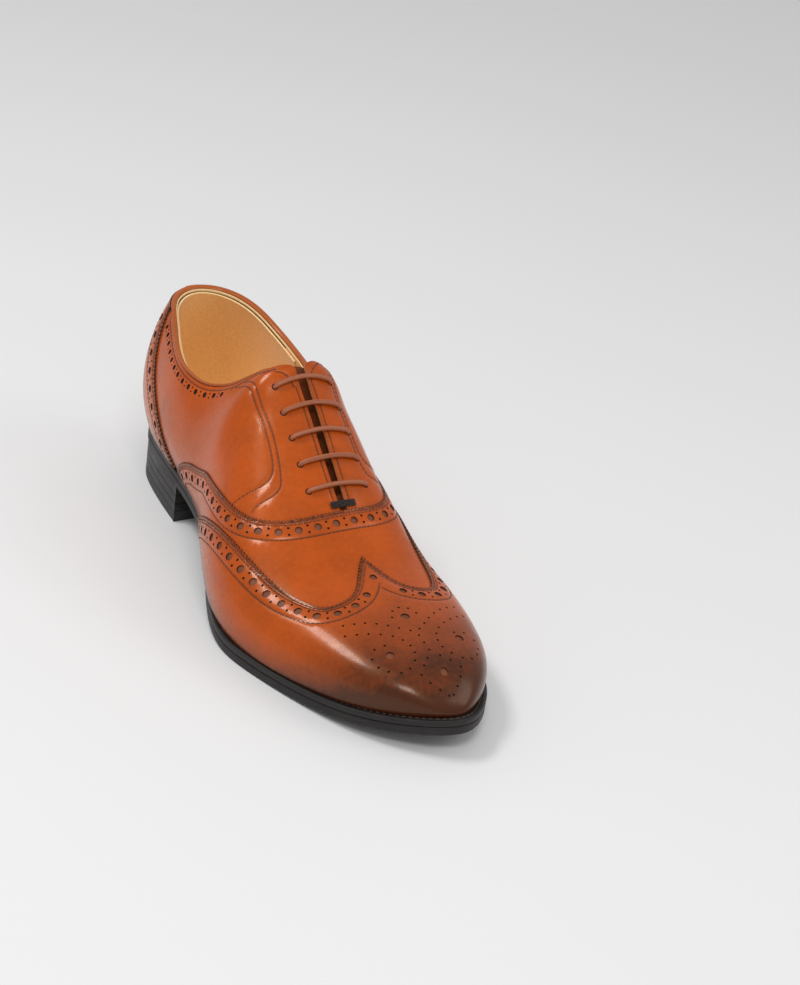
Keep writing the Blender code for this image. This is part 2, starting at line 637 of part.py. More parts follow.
def lace_route():
    """The lace from its lateral end to its medial end: straight bars over the facings, and
    runs under them that climb from one pair of eyelets to the next."""
    lateral_tail = [(-13, 228), (-17, 210), (-22, 188), (-26, 165), (-27, 145), (-26, 128)]
    route = [on_sock(x, s) for x, s in lateral_tail]
    route += [wall(-1, 0.88, 116), wall(-1, 0.78, 112), wall(-1, 0.66, 110), wall(-1, 0.52, 110)]
    route += [over(110, -1, 25, UNDER_OUT - 0.4), over(114, -1, 22.5, UNDER_OUT - 0.5)]
    route += [over(s, -1, 20.5, UNDER_OUT - 0.2) for s in (121, 131, 141, 151, 160)]
    route += [over(165.5, -1, 17.0, UNDER_OUT), over(167.5, -1, 15.2, UNDER_OUT + 0.3)]
    side = -1
    for number in range(len(EYELET_S) - 1, -1, -1):
        s = EYELET_S[number]
        if number < len(EYELET_S) - 1:
            route += [over(EYELET_S[number + 1] - 3, side, EYELET_OFFSET, UNDER_OUT),
                      over(s + 3, side, EYELET_OFFSET, UNDER_OUT),
                      over(s + 0.9, side, EYELET_OFFSET, UNDER_OUT + 0.4)]
        route += [over(s, side, EYELET_OFFSET, out) for out in (-3.8, -0.2)]
        route += [over(s, side, EYELET_OFFSET - 0.8, 1.15)]
        route += [over(s, side, offset, BAR_OUT) for offset in (11.6, 7.5, 3.5)]
        route += [over(s, -side, offset, BAR_OUT) for offset in (0, 3.5, 7.5, 11.6)]
        route += [over(s, -side, EYELET_OFFSET - 0.8, 1.15)]
        side = -side
        route += [over(s, side, EYELET_OFFSET, out) for out in (-0.2, -3.8)]
        if number:
            route += [over(s - 0.9, side, EYELET_OFFSET, UNDER_OUT + 0.4)]
    route += [over(121.8, 1, 15.2, UNDER_OUT + 0.3), over(119.8, 1, 17.0, UNDER_OUT - 0.1)]
    route += [over(115, 1, 21.5, UNDER_OUT - 0.4)]
    route += [wall(1, 0.56, 111), wall(1, 0.66, 110), wall(1, 0.78, 112), wall(1, 0.88, 116)]
    medial_tail = [(18, 128), (18, 145), (20, 165), (24, 188), (25, 210), (23, 228)]
    return route + [on_sock(x, s) for x, s in medial_tail]


def wall(side, q, s):
    """A point where the lace lies on the lining inside the shoe."""
    turn = np.array([float(last_turn(s))])
    return over_last(turn, np.array([side * q]), np.array([UNDER_OUT - 0.4]))[0]


def on_sock(x, s):
    return np.array([x, s, float(bottom_height(s)) + 12.1 + GAP + LACE_RADIUS])


def build_lacing(collection, cutters):
    waxed = material("waxed_lace", (0.24, 0.065, 0.025), 0.55)
    clear = material("aglet_film", (0.10, 0.04, 0.02), 0.25)
    thread = material("black_thread", (0.012, 0.010, 0.010), 0.6)

    for side, name in ((-1, "lateral"), (1, "medial")):
        builder = bmesh.new()
        for s in EYELET_S:
            ends = [over(s, side, EYELET_OFFSET, out) for out in (3.0, -7.0)]
            axis = unit(ends[1] - ends[0])
            across = unit(np.cross(axis, [0, 1, 0]))
            along = np.cross(axis, across)
            circles = []
            for end in ends:
                circles.append([builder.verts.new(scene_point(
                    end + EYELET_RADIUS * (math.cos(a) * across + math.sin(a) * along)))
                    for a in np.arange(10) * math.tau / 10])
            for k in range(10):
                m = (k + 1) % 10
                builder.faces.new((circles[0][k], circles[0][m], circles[1][m], circles[1][k]))
            builder.faces.new(circles[0])
            builder.faces.new(circles[1])
        bmesh.ops.recalc_face_normals(builder, faces=builder.faces)
        mesh = bpy.data.meshes.new(f"eyelet_punch_{name}")
        builder.to_mesh(mesh)
        builder.free()
        punch = add_object(f"eyelet_punch_{name}", mesh, None, cutters)
        for layer in ("quarter", "eyelet_stay", "quarter_lining"):
            cut(bpy.data.objects[f"{layer}_{name}"], punch)

    route = lace_route()
    tube("shoelace", route, LACE_RADIUS, waxed, collection)
    for number, (end, before) in enumerate(((route[0], route[1]), (route[-1], route[-2])), 1):
        away = unit(end - before)
        tip = on_sock(*(end + away * 22)[:2])
        away = unit(tip - end)
        tube(f"aglet_{number}", [end + away * GAP, end + away * 20], 1.25, clear, collection)

    rings = []
    for offset in np.linspace(-TACK_HALF, TACK_HALF, 7):
        corners = ((TACK_START, 1.2), (TACK_END, 1.2), (TACK_END, 0.35), (TACK_START, 0.35))
        rings.append([over(s, -1 if offset < 0 else 1, offset, out) for s, out in corners])
    loft("bar_tack", rings, thread, collection)


def main():
    for existing in list(bpy.data.objects):
        bpy.data.objects.remove(existing, do_unlink=True)
    shoe = bpy.data.collections.new("leather_oxford_shoe")
    bpy.context.scene.collection.children.link(shoe)
    cutters = bpy.data.collections.new("cutters")
    bpy.context.scene.collection.children.link(cutters)
    cutters.hide_render = True
    build_sole(shoe, cutters)
    build_upper(shoe, cutters)
    build_lacing(shoe, cutters)
    for cutter in cutters.objects:
        cutter.hide_render = True
        cutter.display_type = "WIRE"


main()
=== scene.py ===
"""The looks of a wingtip oxford shoe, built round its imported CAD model.

The upper is cut from sheets drawn on the last's surface, as (turn, w) paths: turn runs
from the heel (0) to the toe (1), and w from the lateral feather line (-1) over the crest
(0) to the medial one (1). Lengths are in millimetres, as part.py has them: `x` towards
the big toe, `s` from the heel to the toe and `z` up.
"""

import functools
import math

import bpy
import numpy as np
from mathutils import Matrix, Vector
from mathutils.geometry import delaunay_2d_cdt
from mathutils.kdtree import KDTree


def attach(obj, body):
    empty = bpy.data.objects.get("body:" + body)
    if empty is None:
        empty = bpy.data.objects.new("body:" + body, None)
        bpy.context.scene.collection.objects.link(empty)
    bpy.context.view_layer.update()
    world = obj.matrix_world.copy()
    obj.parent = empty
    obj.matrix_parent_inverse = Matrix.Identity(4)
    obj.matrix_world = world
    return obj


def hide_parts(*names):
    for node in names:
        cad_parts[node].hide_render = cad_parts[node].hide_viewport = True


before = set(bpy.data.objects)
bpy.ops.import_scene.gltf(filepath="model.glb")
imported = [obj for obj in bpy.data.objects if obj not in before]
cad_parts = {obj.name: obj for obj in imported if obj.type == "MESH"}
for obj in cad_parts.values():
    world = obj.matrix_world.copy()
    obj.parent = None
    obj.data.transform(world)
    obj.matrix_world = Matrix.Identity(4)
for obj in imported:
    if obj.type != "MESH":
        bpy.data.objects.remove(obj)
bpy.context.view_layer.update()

MM = 0.001
LENGTH = 300.0              # outsole, from the back of the heel to the tip of the toe
ORIGIN_S = 147.8            # the row frame's origin, along the shoe
ORIGIN_X = -5.68            # and across it
HEEL_X = 2.5                # middle of the heel's back
TIP_X = 5.4                 # tip of the toe

# Sole: half outlines at stations along the shoe
SOLE_S = (12, 35, 70, 110, 150, 185, 210, 240, 265, 285, 295)
SOLE_LATERAL = (-21.5, -28.5, -32.0, -36.5, -52.0, -61.0, -56.5, -46.5, -35.5, -20.5, -8.5)
SOLE_MEDIAL = (26.0, 34.0, 33.5, 28.0, 32.5, 43.5, 49.5, 46.0, 38.5, 26.5, 17.0)
BOTTOM_S = (0, 40, 72, 100, 130, 160, 195, 212, 240, 270, 300)
BOTTOM_Z = (21.5, 20.7, 20.3, 16.5, 9.5, 3.4, 0.0, 0.0, 1.3, 5.2, 11.5)
OUTSOLE_THICK = 4.7
WELT_THICK = 3.0
GAP = 0.3                   # between pieces that touch
FEATHER = OUTSOLE_THICK + GAP + WELT_THICK + 0.5   # lower edge of the upper, over the sole's bottom
BREAST_S = 70.0             # front face of the heel
HEEL_LAYERS = (0.0, 6.0, 10.7, 15.4)               # undersides of the top piece and the lifts

# Last: the surface that the quarters lie on
LAST_BACK = 2.5
LAST_TIP = 292.5
LAST_S = (14, 35, 70, 110, 150, 185, 210, 240, 262, 278, 287)
FEATHER_LATERAL = (-20.3, -27.3, -31.0, -36.0, -50.0, -56.0, -52.0, -41.5, -31.0, -19.0, -8.5)
FEATHER_MEDIAL = (25.0, 32.8, 32.5, 26.5, 30.0, 39.5, 44.5, 41.5, 34.5, 24.5, 15.5)
BULGE_LATERAL = (3.5, 4.5, 6.0, 3.5, 1.5, 1.0, 1.0, 1.0, 1.0, 1.0, 0.8)
BULGE_MEDIAL = (3.0, 4.5, 6.0, 9.5, 8.5, 3.0, 1.0, 1.0, 1.0, 1.0, 0.8)
WIDEST_S = (0, 60, 110, 150, 185, 220, 260, 292.5)
WIDEST_HEIGHT = (24, 24, 22, 16, 11, 9, 8, 5)      # of the widest line, over the feather line
CREST_S = (2.5, 20, 40, 60, 80, 90, 100, 108, 116, 124, 135, 147, 158, 170, 180, 190, 201,
           215, 230, 243, 262, 276, 286)
CREST_FRONT = (104.5, 96.2, 87.0, 78.4, 69.2, 61.0, 53.2, 46.4, 42.0, 39.4, 37.6, 34.6, 31.2, 25.5)
CREST_LATERAL = (119, 114.5, 112, 109.5, 99.5, 98, 103, 108.5, 111.4) + CREST_FRONT
CREST_MEDIAL = (124, 122, 123, 122, 110, 103, 103.8, 108.5, 111.4) + CREST_FRONT
CREST_X_S = (0, 15, 60, 124, 170, 200, 245, 292.5)
CREST_X = (2.5, 4.0, 4.4, 3.6, 2.6, 2.2, 3.2, 5.4)
BACK_HEIGHT = (0, 22, 45, 75, 100)                 # profile of the heel's back
BACK_LEAN = (-0.5, -5.0, -4.5, 2.0, 8.0)
FULLNESS_S = (0, 60, 110, 150, 185, 220, 260, 292.5)
FULLNESS_LATERAL = (0.0, 0.0, 0.0, 0.0, 0.04, 0.10, 0.16, 0.2)
FULLNESS_MEDIAL = (0.0, 0.05, 0.12, 0.15, 0.14, 0.14, 0.16, 0.2)
SPLINE_STEPS = 6001         # in the table of each curve
WIDE_Q = 0.82               # share of the way from crest to feather at which the last is widest
WIDEST_SHARE = 0.45         # the widest line is never higher than this share of the section
CREST_BLEND_Q = 0.25        # q by which the two sides' own crest heights are reached
NARROW_SPAN = 30.0          # ends narrower than this draw the crest to their middle
MIDDLE_S = 150              # where the heel's end gives way to the toe's
HEEL_REACH = 75.0           # how far the lean of the heel's back reaches forwards
POLE_TURN = 0.985           # beyond this turn, normals swing round to the toe's pole

# Edges of the upper's pieces. q is 0 on the crest and 1 on the feather line
TOPLINE_S = (2.5, 12, 20, 30, 40, 50, 60, 70, 80, 90, 100, 108, 113, 116.5)
TOPLINE_Z = (100.3, 98.8, 97.0, 93.8, 90.0, 87.2, 85.4, 84.6, 85.0, 88.5, 95.5, 103.3, 108.2, 111.2)
VAMP_Q = (0, 0.10, 0.2, 0.32, 0.45, 0.58, 0.70, 0.80, 0.88, 0.95, 1.0)
VAMP_S = (178.5, 178.2, 177, 173, 162.5, 142.5, 119.5, 99, 83.5, 74.5, 70)
WING_Q = (0, 0.04, 0.09, 0.17, 0.25, 0.33, 0.40, 0.46, 0.52, 0.60, 0.71, 0.85, 1.0)
WING_S = (199, 205.5, 214.5, 221.5, 223, 219.5, 205.5, 189, 174.5, 158.5, 142, 124, 108)
FOXING_ROW = (0, 0.25, 0.5, 0.75, 1.0)             # share of the way down from the topline
FOXING_S = (17, 27, 41, 55, 66)
SLIT_HALF_TOP = 2.5         # half the gap between the facings, at the top and at the throat
SLIT_HALF_THROAT = 1.8
SLIT_TOP_S = 113.0
THROAT_S = 176.0
FACING_END_S = 183.0
TONGUE_FIXED_S = 176.5      # the tongue turns about its front edge, at the throat

# Edges of the leather, and layers given as inner and outer face, out from the last
SIDES = ((-1, "lateral"), (1, "medial"))
TOPLINE_DROP = 0.8          # of the leather's edge, under the binding
LOW_Q = 0.995               # of its lower edge, over the feather line
FOXING_BACK_TURN = 0.026    # of the heel foxing's rear edge
STRIP_HALF_TURN = 0.036     # half the width of the back strip
STRIP_BASE = 1.3            # inner face of the back strip
STRIP_BOW = 1.1             # its thickness in the middle
BINDING_END_S = 112.5       # both ends of the topline binding
SOCK_INSET = 4.6            # of the sock liner, from the ends of the last
SOCK_LAYER = (10.9, 12.1)   # its faces, over the sole's bottom
TONGUE_TIP_S = 118.5
TONGUE_LINING_LAYER = (-11.3, -10.3)
TONGUE_LAYER = (-9.9, -7.8)

# Welt and heel, as seen from outside
WELT_LOW = OUTSOLE_THICK + 0.15
WELT_HIGH = FEATHER - 0.45
WELT_INNER_INSET = 7.5
WELT_SEAM_INSET = 2.7
WELT_SEAM_PITCH = 3.1
WELT_ROUNDING = 0.55
LIFT_LINE = 0.12            # dark line left between the layers of the heel
LIFT_CLEAR = 0.02

# Lacing
EYELET_S = (122.6, 134.0, 145.3, 156.7, 168.3)
EYELET_OFFSET = 14.6        # from the middle of the slit
LACE_RADIUS = 1.2
BAR_OUT = 1.75              # middle of the lace over the facings
UNDER_OUT = -6.0            # and under them
TACK_START = 175.3          # bar of thread that holds the bottom of the slit
TACK_END = 177.0

# Leather work
PINK_PITCH = 2.1            # of the zigzag edges
PINK_DEPTH = 0.95
GROOVE_DEPTH = 0.25         # of a sewn seam
SEAM_STEP = 1.2             # between the points that draw a seam
LARGE_CORNERS = 14          # of a large hole's outline: these show their floor
SEAM_INSET = 2.1            # of the seam along the topline and the slit
EDGE_SEAMS = (1.8, 3.0)     # of the double seam along a pinked edge
HOLE_ROW_INSET = 6.4        # of the middle of the brogueing
LOWER_SEAM_INSET = 10.6     # of the single seam beyond it
LINING_SET_BACK = 3.0       # from the edge of the slit
FACING_SEAM = ((97, 0.352), (101, 0.318), (106.5, 0.27), (112, 0.222), (116.5, 0.165), (119.5, 0.10),
               (122.5, 0.07), (125, 0.065))        # from the topline to the slit's edge, as (s, q)
STAY_SEAMS = (
    ((106, 0.292), (112, 0.285), (124.5, 0.264), (134.5, 0.24), (143, 0.232), (151, 0.232),
     (157.5, 0.238),
     (162, 0.25), (163.5, 0.29), (163, 0.35), (162.5, 0.405)),
    ((101, 0.335), (112, 0.318), (121, 0.30), (131, 0.276), (141, 0.264), (148, 0.262), (153.5, 0.268),
     (156.5, 0.295), (156.8, 0.34), (155, 0.406), (153, 0.47), (151.5, 0.525)))
PEAK_HOLE = (1.6, 214.0)    # (x, s) of the large hole in the peak of the wing
PEAK_ROWS_FROM = 0.06       # w at which the rows of holes beside it begin
MEDALLION_SPINE = (256.5, 261.5, 266.5)            # s of the small holes in the middle
MEDALLION_ROWS = (          # small holes on each side, as (distance from the middle, s)
    ((30, 238), (25, 239.5), (20.3, 241), (15.5, 243.5), (11, 246.3), (6.8, 249.5), (2.4, 252.6)),
    ((32, 244), (27, 246), (22, 248), (17, 250.5), (12.3, 253.5), (9, 257.3), (7.3, 261.6),
     (7.4, 266.2),
     (9.8, 270.6), (14, 274)),
    ((18.6, 257.6), (24, 257.8), (27.3, 262), (26.6, 267.3), (23.6, 271.4), (18.8, 274.6)),
    ((3.4, 271), (7, 274.5), (10.4, 278.6), (8, 283), (4.6, 286.6), (1.2, 289.6)))
MEDALLION_LARGE = ((3.2, 243.1), (-16.0, 263.9), (22.4, 261.7), (4.3, 279.6))
TAN = (0.50, 0.078, 0.001)
TAN_DARK = (0.055, 0.011, 0.003)

# Studio
CAMERA_PLACE = Vector((-0.5327, -0.8944, 0.6358))
CAMERA_AZIMUTH = 33.489     # of the view, from +Y towards +X
CAMERA_ELEVATION = 28.785   # below the horizon
CAMERA_ROLL = 8.299
CAMERA_LENS = 88.99
WORLD_STRENGTH = 0.54
FLOOR_HALF = 6.0            # half the floor's width, in metres
SOFTBOXES = (               # name, place, width, height, power
    ("key", (-0.55, 0.35, 1.25), 0.45, 0.3, 6.5),
    ("fill", (0.9, -0.7, 0.9), 0.6, 0.6, 2.2),
    ("front", (-0.45, -0.85, 1.3), 0.5, 0.35, 6.0))


# --- shape of the last -------------------------------------------------------

@functools.lru_cache(maxsize=None)
def bends(knots, values):
    """Second derivatives of the natural cubic spline through the values at the knots."""
    count = len(knots)
    step = np.diff(knots)
    matrix = np.eye(count)
    right = np.zeros(count)
    for i in range(1, count - 1):
        matrix[i, i - 1:i + 2] = step[i - 1], 2 * (step[i - 1] + step[i]), step[i]
        right[i] = 6 * ((values[i + 1] - values[i]) / step[i] - (values[i] - values[i - 1]) / step[i - 1])
    return np.linalg.solve(matrix, right)


@functools.lru_cache(maxsize=None)
def curve_table(knots, values):
    """Natural cubic spline through the values at the knots, as a dense table."""
    bend = bends(knots, values)
    knots = np.array(knots, float)
    values = np.array(values, float)
    at = np.linspace(knots[0], knots[-1], SPLINE_STEPS)
    i = np.clip(np.searchsorted(knots, at) - 1, 0, len(knots) - 2)
    before = at - knots[i]
    after = knots[i + 1] - at
    width = knots[i + 1] - knots[i]
    return at, (bend[i] * after ** 3 / (6 * width) + bend[i + 1] * before ** 3 / (6 * width)
                + (values[i] / width - bend[i] * width / 6) * after
                + (values[i + 1] / width - bend[i + 1] * width / 6) * before)


def spline(knots, values, at):
    """Natural cubic spline through the values at the knots, held at its ends."""
    return np.interp(at, *curve_table(tuple(knots), tuple(values)))


def turn_of(s, start, end):
    """Share of a half turn whose cosine spacing lands on s, so that both ends come out round."""
    share = (np.asarray(s, float) - start) / (end - start)
    return np.arccos(np.clip(1 - 2 * share, -1, 1)) / math.pi


def sole_turn(s):
    return turn_of(s, 0.0, LENGTH)


def last_turn(s):
    return turn_of(s, LAST_BACK, LAST_TIP)


def last_s(turn):
    return LAST_BACK + (LAST_TIP - LAST_BACK) * (1 - np.cos(math.pi * np.asarray(turn, float))) / 2


def turn_at(s):
    """The last's turn at one station, as a plain number."""
    return float(last_turn(s))


def sole_edge(s, side):
    """x of the sole's edge. Side is -1 for lateral and 1 for medial."""
    half = SOLE_LATERAL if side < 0 else SOLE_MEDIAL
    knots = [0, *sole_turn(SOLE_S), 1]
    return spline(knots, [HEEL_X, *half, TIP_X], sole_turn(s))


def bottom_height(s):
    return np.maximum(spline(BOTTOM_S, BOTTOM_Z, s), 0)


def feather_height(s):
    return bottom_height(s) + FEATHER


LAST_KNOTS = [0, *last_turn(LAST_S), 1]


def feather_edge(turn, side):
    half = FEATHER_LATERAL if side < 0 else FEATHER_MEDIAL
    return spline(LAST_KNOTS, [HEEL_X, *half, TIP_X], turn)


def widest_edge(turn, side):
    half = np.asarray(FEATHER_LATERAL if side < 0 else FEATHER_MEDIAL, float)
    bulge = np.asarray(BULGE_LATERAL if side < 0 else BULGE_MEDIAL, float)
    return spline(LAST_KNOTS, [HEEL_X, *(half + side * bulge), TIP_X], turn)


def crest_height(turn, side):
    high = CREST_LATERAL if side < 0 else CREST_MEDIAL
    knots = [*last_turn(CREST_S), 1]
    return spline(knots, [*high, float(feather_height(LAST_TIP))], turn)


def last_point(turn, w):
    """Points (x, s, z) of the last. w is -1 on the lateral feather line, 0 on the crest and
    1 on the medial feather line. A turn below 0 carries on round the heel to the other side."""
    turn, w = np.broadcast_arrays(np.asarray(turn, float), np.asarray(w, float))
    w = np.where(turn < 0, -w, w)
    turn = np.abs(turn)
    turn = np.where(turn > 1, 2 - turn, turn)
    q = np.abs(w)
    lateral = w < 0
    s = last_s(turn)
    feather_x = np.where(lateral, feather_edge(turn, -1), feather_edge(turn, 1))
    wide_x = np.where(lateral, widest_edge(turn, -1), widest_edge(turn, 1))
    crest_middle = (crest_height(turn, -1) + crest_height(turn, 1)) / 2
    crest_side = np.where(lateral, crest_height(turn, -1), crest_height(turn, 1)) - crest_middle
    from_crest = np.clip(q / CREST_BLEND_Q, 0, 1)
    crest_z = crest_middle + crest_side * from_crest * from_crest * (3 - 2 * from_crest)
    low = feather_height(s)
    middle = spline(CREST_X_S, CREST_X, s)
    span = np.clip((widest_edge(turn, 1) - widest_edge(turn, -1)) / NARROW_SPAN, 0, 1)
    ends_x = np.where(s < MIDDLE_S, HEEL_X, TIP_X)
    middle = ends_x + (middle - ends_x) * span * span * (3 - 2 * span)
    high = np.maximum(crest_z - low, 0)
    wide_high = np.minimum(spline(WIDEST_S, WIDEST_HEIGHT, s), WIDEST_SHARE * high)

    full = np.where(lateral, spline(FULLNESS_S, FULLNESS_LATERAL, s),
                    spline(FULLNESS_S, FULLNESS_MEDIAL, s))
    angle = np.clip(q / WIDE_Q, 0, 1) * math.pi / 2
    across = np.sin(angle) * (1 + full * np.cos(angle) ** 2)
    up = np.cos(angle) * (1 + full * np.sin(angle) ** 2)
    x = middle + (wide_x - middle) * across
    height = wide_high + (high - wide_high) * up
    tuck = np.clip((q - WIDE_Q) / (1 - WIDE_Q), 0, 1)
    below = q > WIDE_Q
    x = np.where(below, wide_x - (wide_x - feather_x) * tuck ** 2, x)
    height = np.where(below, wide_high * (1 - tuck), height)

    near_heel = np.clip(1 - (s - LAST_BACK) / HEEL_REACH, 0, 1)
    near_heel = near_heel * near_heel * (3 - 2 * near_heel)
    lean = spline(BACK_HEIGHT, BACK_LEAN, np.clip(height, 0, 100)) * near_heel
    return np.stack([x, s + lean, low + height], -1)


def unit(vectors):
    return vectors / np.maximum(np.linalg.norm(vectors, axis=-1, keepdims=True), 1e-12)


def last_normal(turn, w):
    """Outward unit normals of the last."""
    turn, w = np.broadcast_arrays(np.asarray(turn, float), np.asarray(w, float))
    inside = np.minimum(turn, POLE_TURN)
    step = 1e-4
    along = last_point(inside + step, w) - last_point(inside - step, w)
    edge = np.clip(w, -1 + step, 1 - step)
    down = last_point(inside, edge + step) - last_point(inside, edge - step)
    normal = unit(np.cross(down, along))
    pole = np.array([0.0, 1.0, 0.0])
    share = np.clip((turn - POLE_TURN) / 0.015, 0, 1)[..., None]
    return unit(normal * (1 - share) + pole * share)


def over_last(turn, w, out):
    """Points at a distance out from the last's surface, and never below the top of the welt."""
    points = last_point(turn, w) + last_normal(turn, w) * np.asarray(out, float)[..., None]
    points[..., 2] = np.maximum(points[..., 2], bottom_height(points[..., 1]) + FEATHER)
    return points


def q_at_height(turn, side, height):
    """Where the last's section crosses a height, above its widest line."""
    low = np.zeros_like(turn, dtype=float)
    high = np.full_like(turn, WIDE_Q, dtype=float)
    for _ in range(22):
        middle = (low + high) / 2
        above = last_point(turn, side * middle)[..., 2] > height
        low = np.where(above, middle, low)
        high = np.where(above, high, middle)
    return (low + high) / 2


def q_at_offset(turn, side, offset):
    """Where the last is a distance to one side of the crest."""
    turn = np.abs(np.asarray(turn, float))
    half = np.abs(widest_edge(turn, side) - spline(CREST_X_S, CREST_X, last_s(turn)))
    return WIDE_Q * np.arcsin(np.clip(offset / np.maximum(half, 1e-6), 0, 1)) / (math.pi / 2)


def top_q(turn, side, below=0.0, clear=0.0):
    """Upper edge of the quarters: the topline round the ankle, then the slit down the front.
    Pieces under them stop a clear distance back from the slit."""
    turn = np.abs(np.asarray(turn, float))
    s = last_s(turn)
    q = q_at_height(turn, side, spline(TOPLINE_S, TOPLINE_Z, s) - below)
    share = np.clip((s - SLIT_TOP_S) / (THROAT_S - SLIT_TOP_S), 0, 1)
    half_slit = SLIT_HALF_TOP + (SLIT_HALF_THROAT - SLIT_HALF_TOP) * share
    slit = q_at_offset(turn, side, half_slit + clear)
    return np.maximum(np.where(s > TOPLINE_S[-1], 0, q), np.where(s > 100, slit, 0))


def vamp_edge(q):
    return spline(VAMP_Q, VAMP_S, q)


def wing_edge(q):
    return spline(WING_Q, WING_S, q)


# --- drawing on the last ------------------------------------------------------
# A path is an array of (turn, w). Distances along it are millimetres over the surface.

SPREAD = np.array([450.0, 90.0])    # about how many millimetres one turn and one w are


def row_point(points):
    """From (x, s, z) in millimetres to the row frame in metres."""
    x, s, z = np.moveaxis(np.asarray(points, float), -1, 0)
    return np.stack([(x - ORIGIN_X) * MM, (ORIGIN_S - s) * MM, z * MM], -1)


def on_last(path, out=0.0):
    """Points out from the last along a path, or over a grid of (turn, w)."""
    return over_last(path[..., 0], path[..., 1], np.broadcast_to(out, path.shape[:-1]))


def column(turn, w):
    """A path across the shoe at one turn."""
    return np.stack([np.full(len(w), float(turn)), w], -1)


def nudge(path, moves):
    """Path points moved over the surface by (x, s, z) vectors that lie in it."""
    small = 2e-4
    by_turn = (on_last(path + [small, 0]) - on_last(path - [small, 0])) / (2 * small)
    by_w = (on_last(path + [0, small]) - on_last(path - [0, small])) / (2 * small)
    slopes = np.stack([by_turn, by_w], -1)
    return path + np.einsum("nij,nj->ni", np.linalg.pinv(slopes), moves)


def frames(path):
    """Unit vectors ahead, to the left and outward at each point of a path."""
    ahead = unit(np.gradient(on_last(path), axis=0))
    normal = last_normal(path[:, 0], path[:, 1])
    return ahead, unit(np.cross(normal, ahead)), normal


def beside(path, distance):
    """The path moved to its left by a distance, in short steps."""
    steps = max(1, math.ceil(abs(distance) / 1.5))
    for _ in range(steps):
        path = nudge(path, frames(path)[1] * distance / steps)
    return path


def lengths(path):
    steps = np.linalg.norm(np.diff(on_last(path), axis=0), axis=1)
    return np.r_[0, np.cumsum(steps)]


def evenly(path, pitch, start=0.0, end=None):
    """Points at an even pitch from start to end, which are margins in millimetres."""
    run = lengths(path)
    end = start if end is None else end
    count = max(2, round((run[-1] - start - end) / pitch) + 1)
    at = np.linspace(start, run[-1] - end, count)
    return np.stack([np.interp(at, run, path[:, k]) for k in (0, 1)], -1)


def softened(path, passes=3):
    """The path with its corners cut, ends kept."""
    for _ in range(passes):
        cut = np.empty((2 * len(path) - 2, 2))
        cut[0::2] = path[:-1] * 0.75 + path[1:] * 0.25
        cut[1::2] = path[:-1] * 0.25 + path[1:] * 0.75
        path = np.vstack([path[:1], cut, path[-1:]])
    return path


def pinked(path, side):
    """A zigzag cut along the path, with its notches to one side."""
    teeth = evenly(path, PINK_PITCH / 2)
    notches = beside(teeth, side * PINK_DEPTH)
    teeth[1::2] = notches[1::2]
    return teeth


def rings(centres, radius, corners, ahead=None, stretch=1.0):
    """Loops of points round each centre, stretched along ahead."""
    if ahead is None:
        ahead = np.tile([0.0, 1.0, 0.0], (len(centres), 1))
    normal = last_normal(centres[:, 0], centres[:, 1])
    left = unit(np.cross(normal, ahead))
    ahead = np.cross(left, normal)
    angles = np.arange(corners) * math.tau / corners
    moves = (ahead[:, None] * (np.cos(angles) * radius * stretch)[None, :, None]
             + left[:, None] * (np.sin(angles) * radius)[None, :, None])
    loops = nudge(np.repeat(centres, corners, axis=0), moves.reshape(-1, 3))
    return list(loops.reshape(len(centres), corners, 2))


def brogue_row(path, pitch=9.6, large=1.95, small=0.65, pair=1.75, margin=6.0):
    """Large holes in a row, with two small ones, side by side, between them."""
    spots = evenly(path, pitch / 2, margin)
    if len(spots) % 2 == 0:
        spots = evenly(path, (lengths(path)[-1] - 2 * margin) / len(spots), margin)
    ahead = frames(spots)[0]
    loops = rings(spots[0::2], large, LARGE_CORNERS, ahead[0::2])
    for distance in (-pair, pair):
        loops += rings(beside(spots, distance)[1::2], small, 7)
    return loops


def locate(spots, out):
    """The (turn, w) of points over the last that have these (x, s)."""
    spots = np.asarray(spots, float)
    found = np.stack([last_turn(spots[:, 1]), (spots[:, 0] - 3.0) / 45.0], -1)
    small = 1e-3
    for _ in range(12):
        miss = spots - on_last(found, out)[:, :2]
        slopes = np.stack([(on_last(found + step, out) - on_last(found - step, out))[:,
                                                                                     :2] / (2 * small)
                           for step in ([small, 0], [0, small])], -1)
        found = found + np.clip(np.einsum("nij,nj->ni", np.linalg.pinv(slopes), miss), -0.03, 0.03)
    return found


# --- making meshes ------------------------------------------------------------

def tree_of(points):
    """A tree that finds the nearest of some points, flat or in space."""
    tree = KDTree(len(points))
    for k, point in enumerate(points):
        tree.insert((*point, 0)[:3], k)
    tree.balance()
    return tree


def nearest(tree, points):
    """How far each point is from the nearest one in the tree."""
    return np.array([tree.find((*point, 0)[:3])[2] for point in points])


def tube_faces(rings, sides, closed=False):
    """Quads between rings of points, with a face over each end of an open tube."""
    faces = []
    for r in range(rings if closed else rings - 1):
        near = r * sides
        far = (r + 1) % rings * sides
        for c in range(sides):
            d = (c + 1) % sides
            faces.append(((near + c, near + d, far + d, far + c), 0))
    if not closed:
        last = (rings - 1) * sides
        faces += [(tuple(range(sides))[::-1], 0), (tuple(range(last, last + sides)), 0)]
    return faces


def outward(points, faces):
    """The faces, all turned over if they look into the solid."""
    return faces if volume(points, faces) >= 0 else [(f[::-1], k) for f, k in faces]


def mark_points(mesh, name, values):
    """Gives each of a mesh's points a value that its finish reads."""
    mesh.attributes.new(name, "FLOAT", "POINT").data.foreach_set("value",
                                                                 np.asarray(values, np.float32))


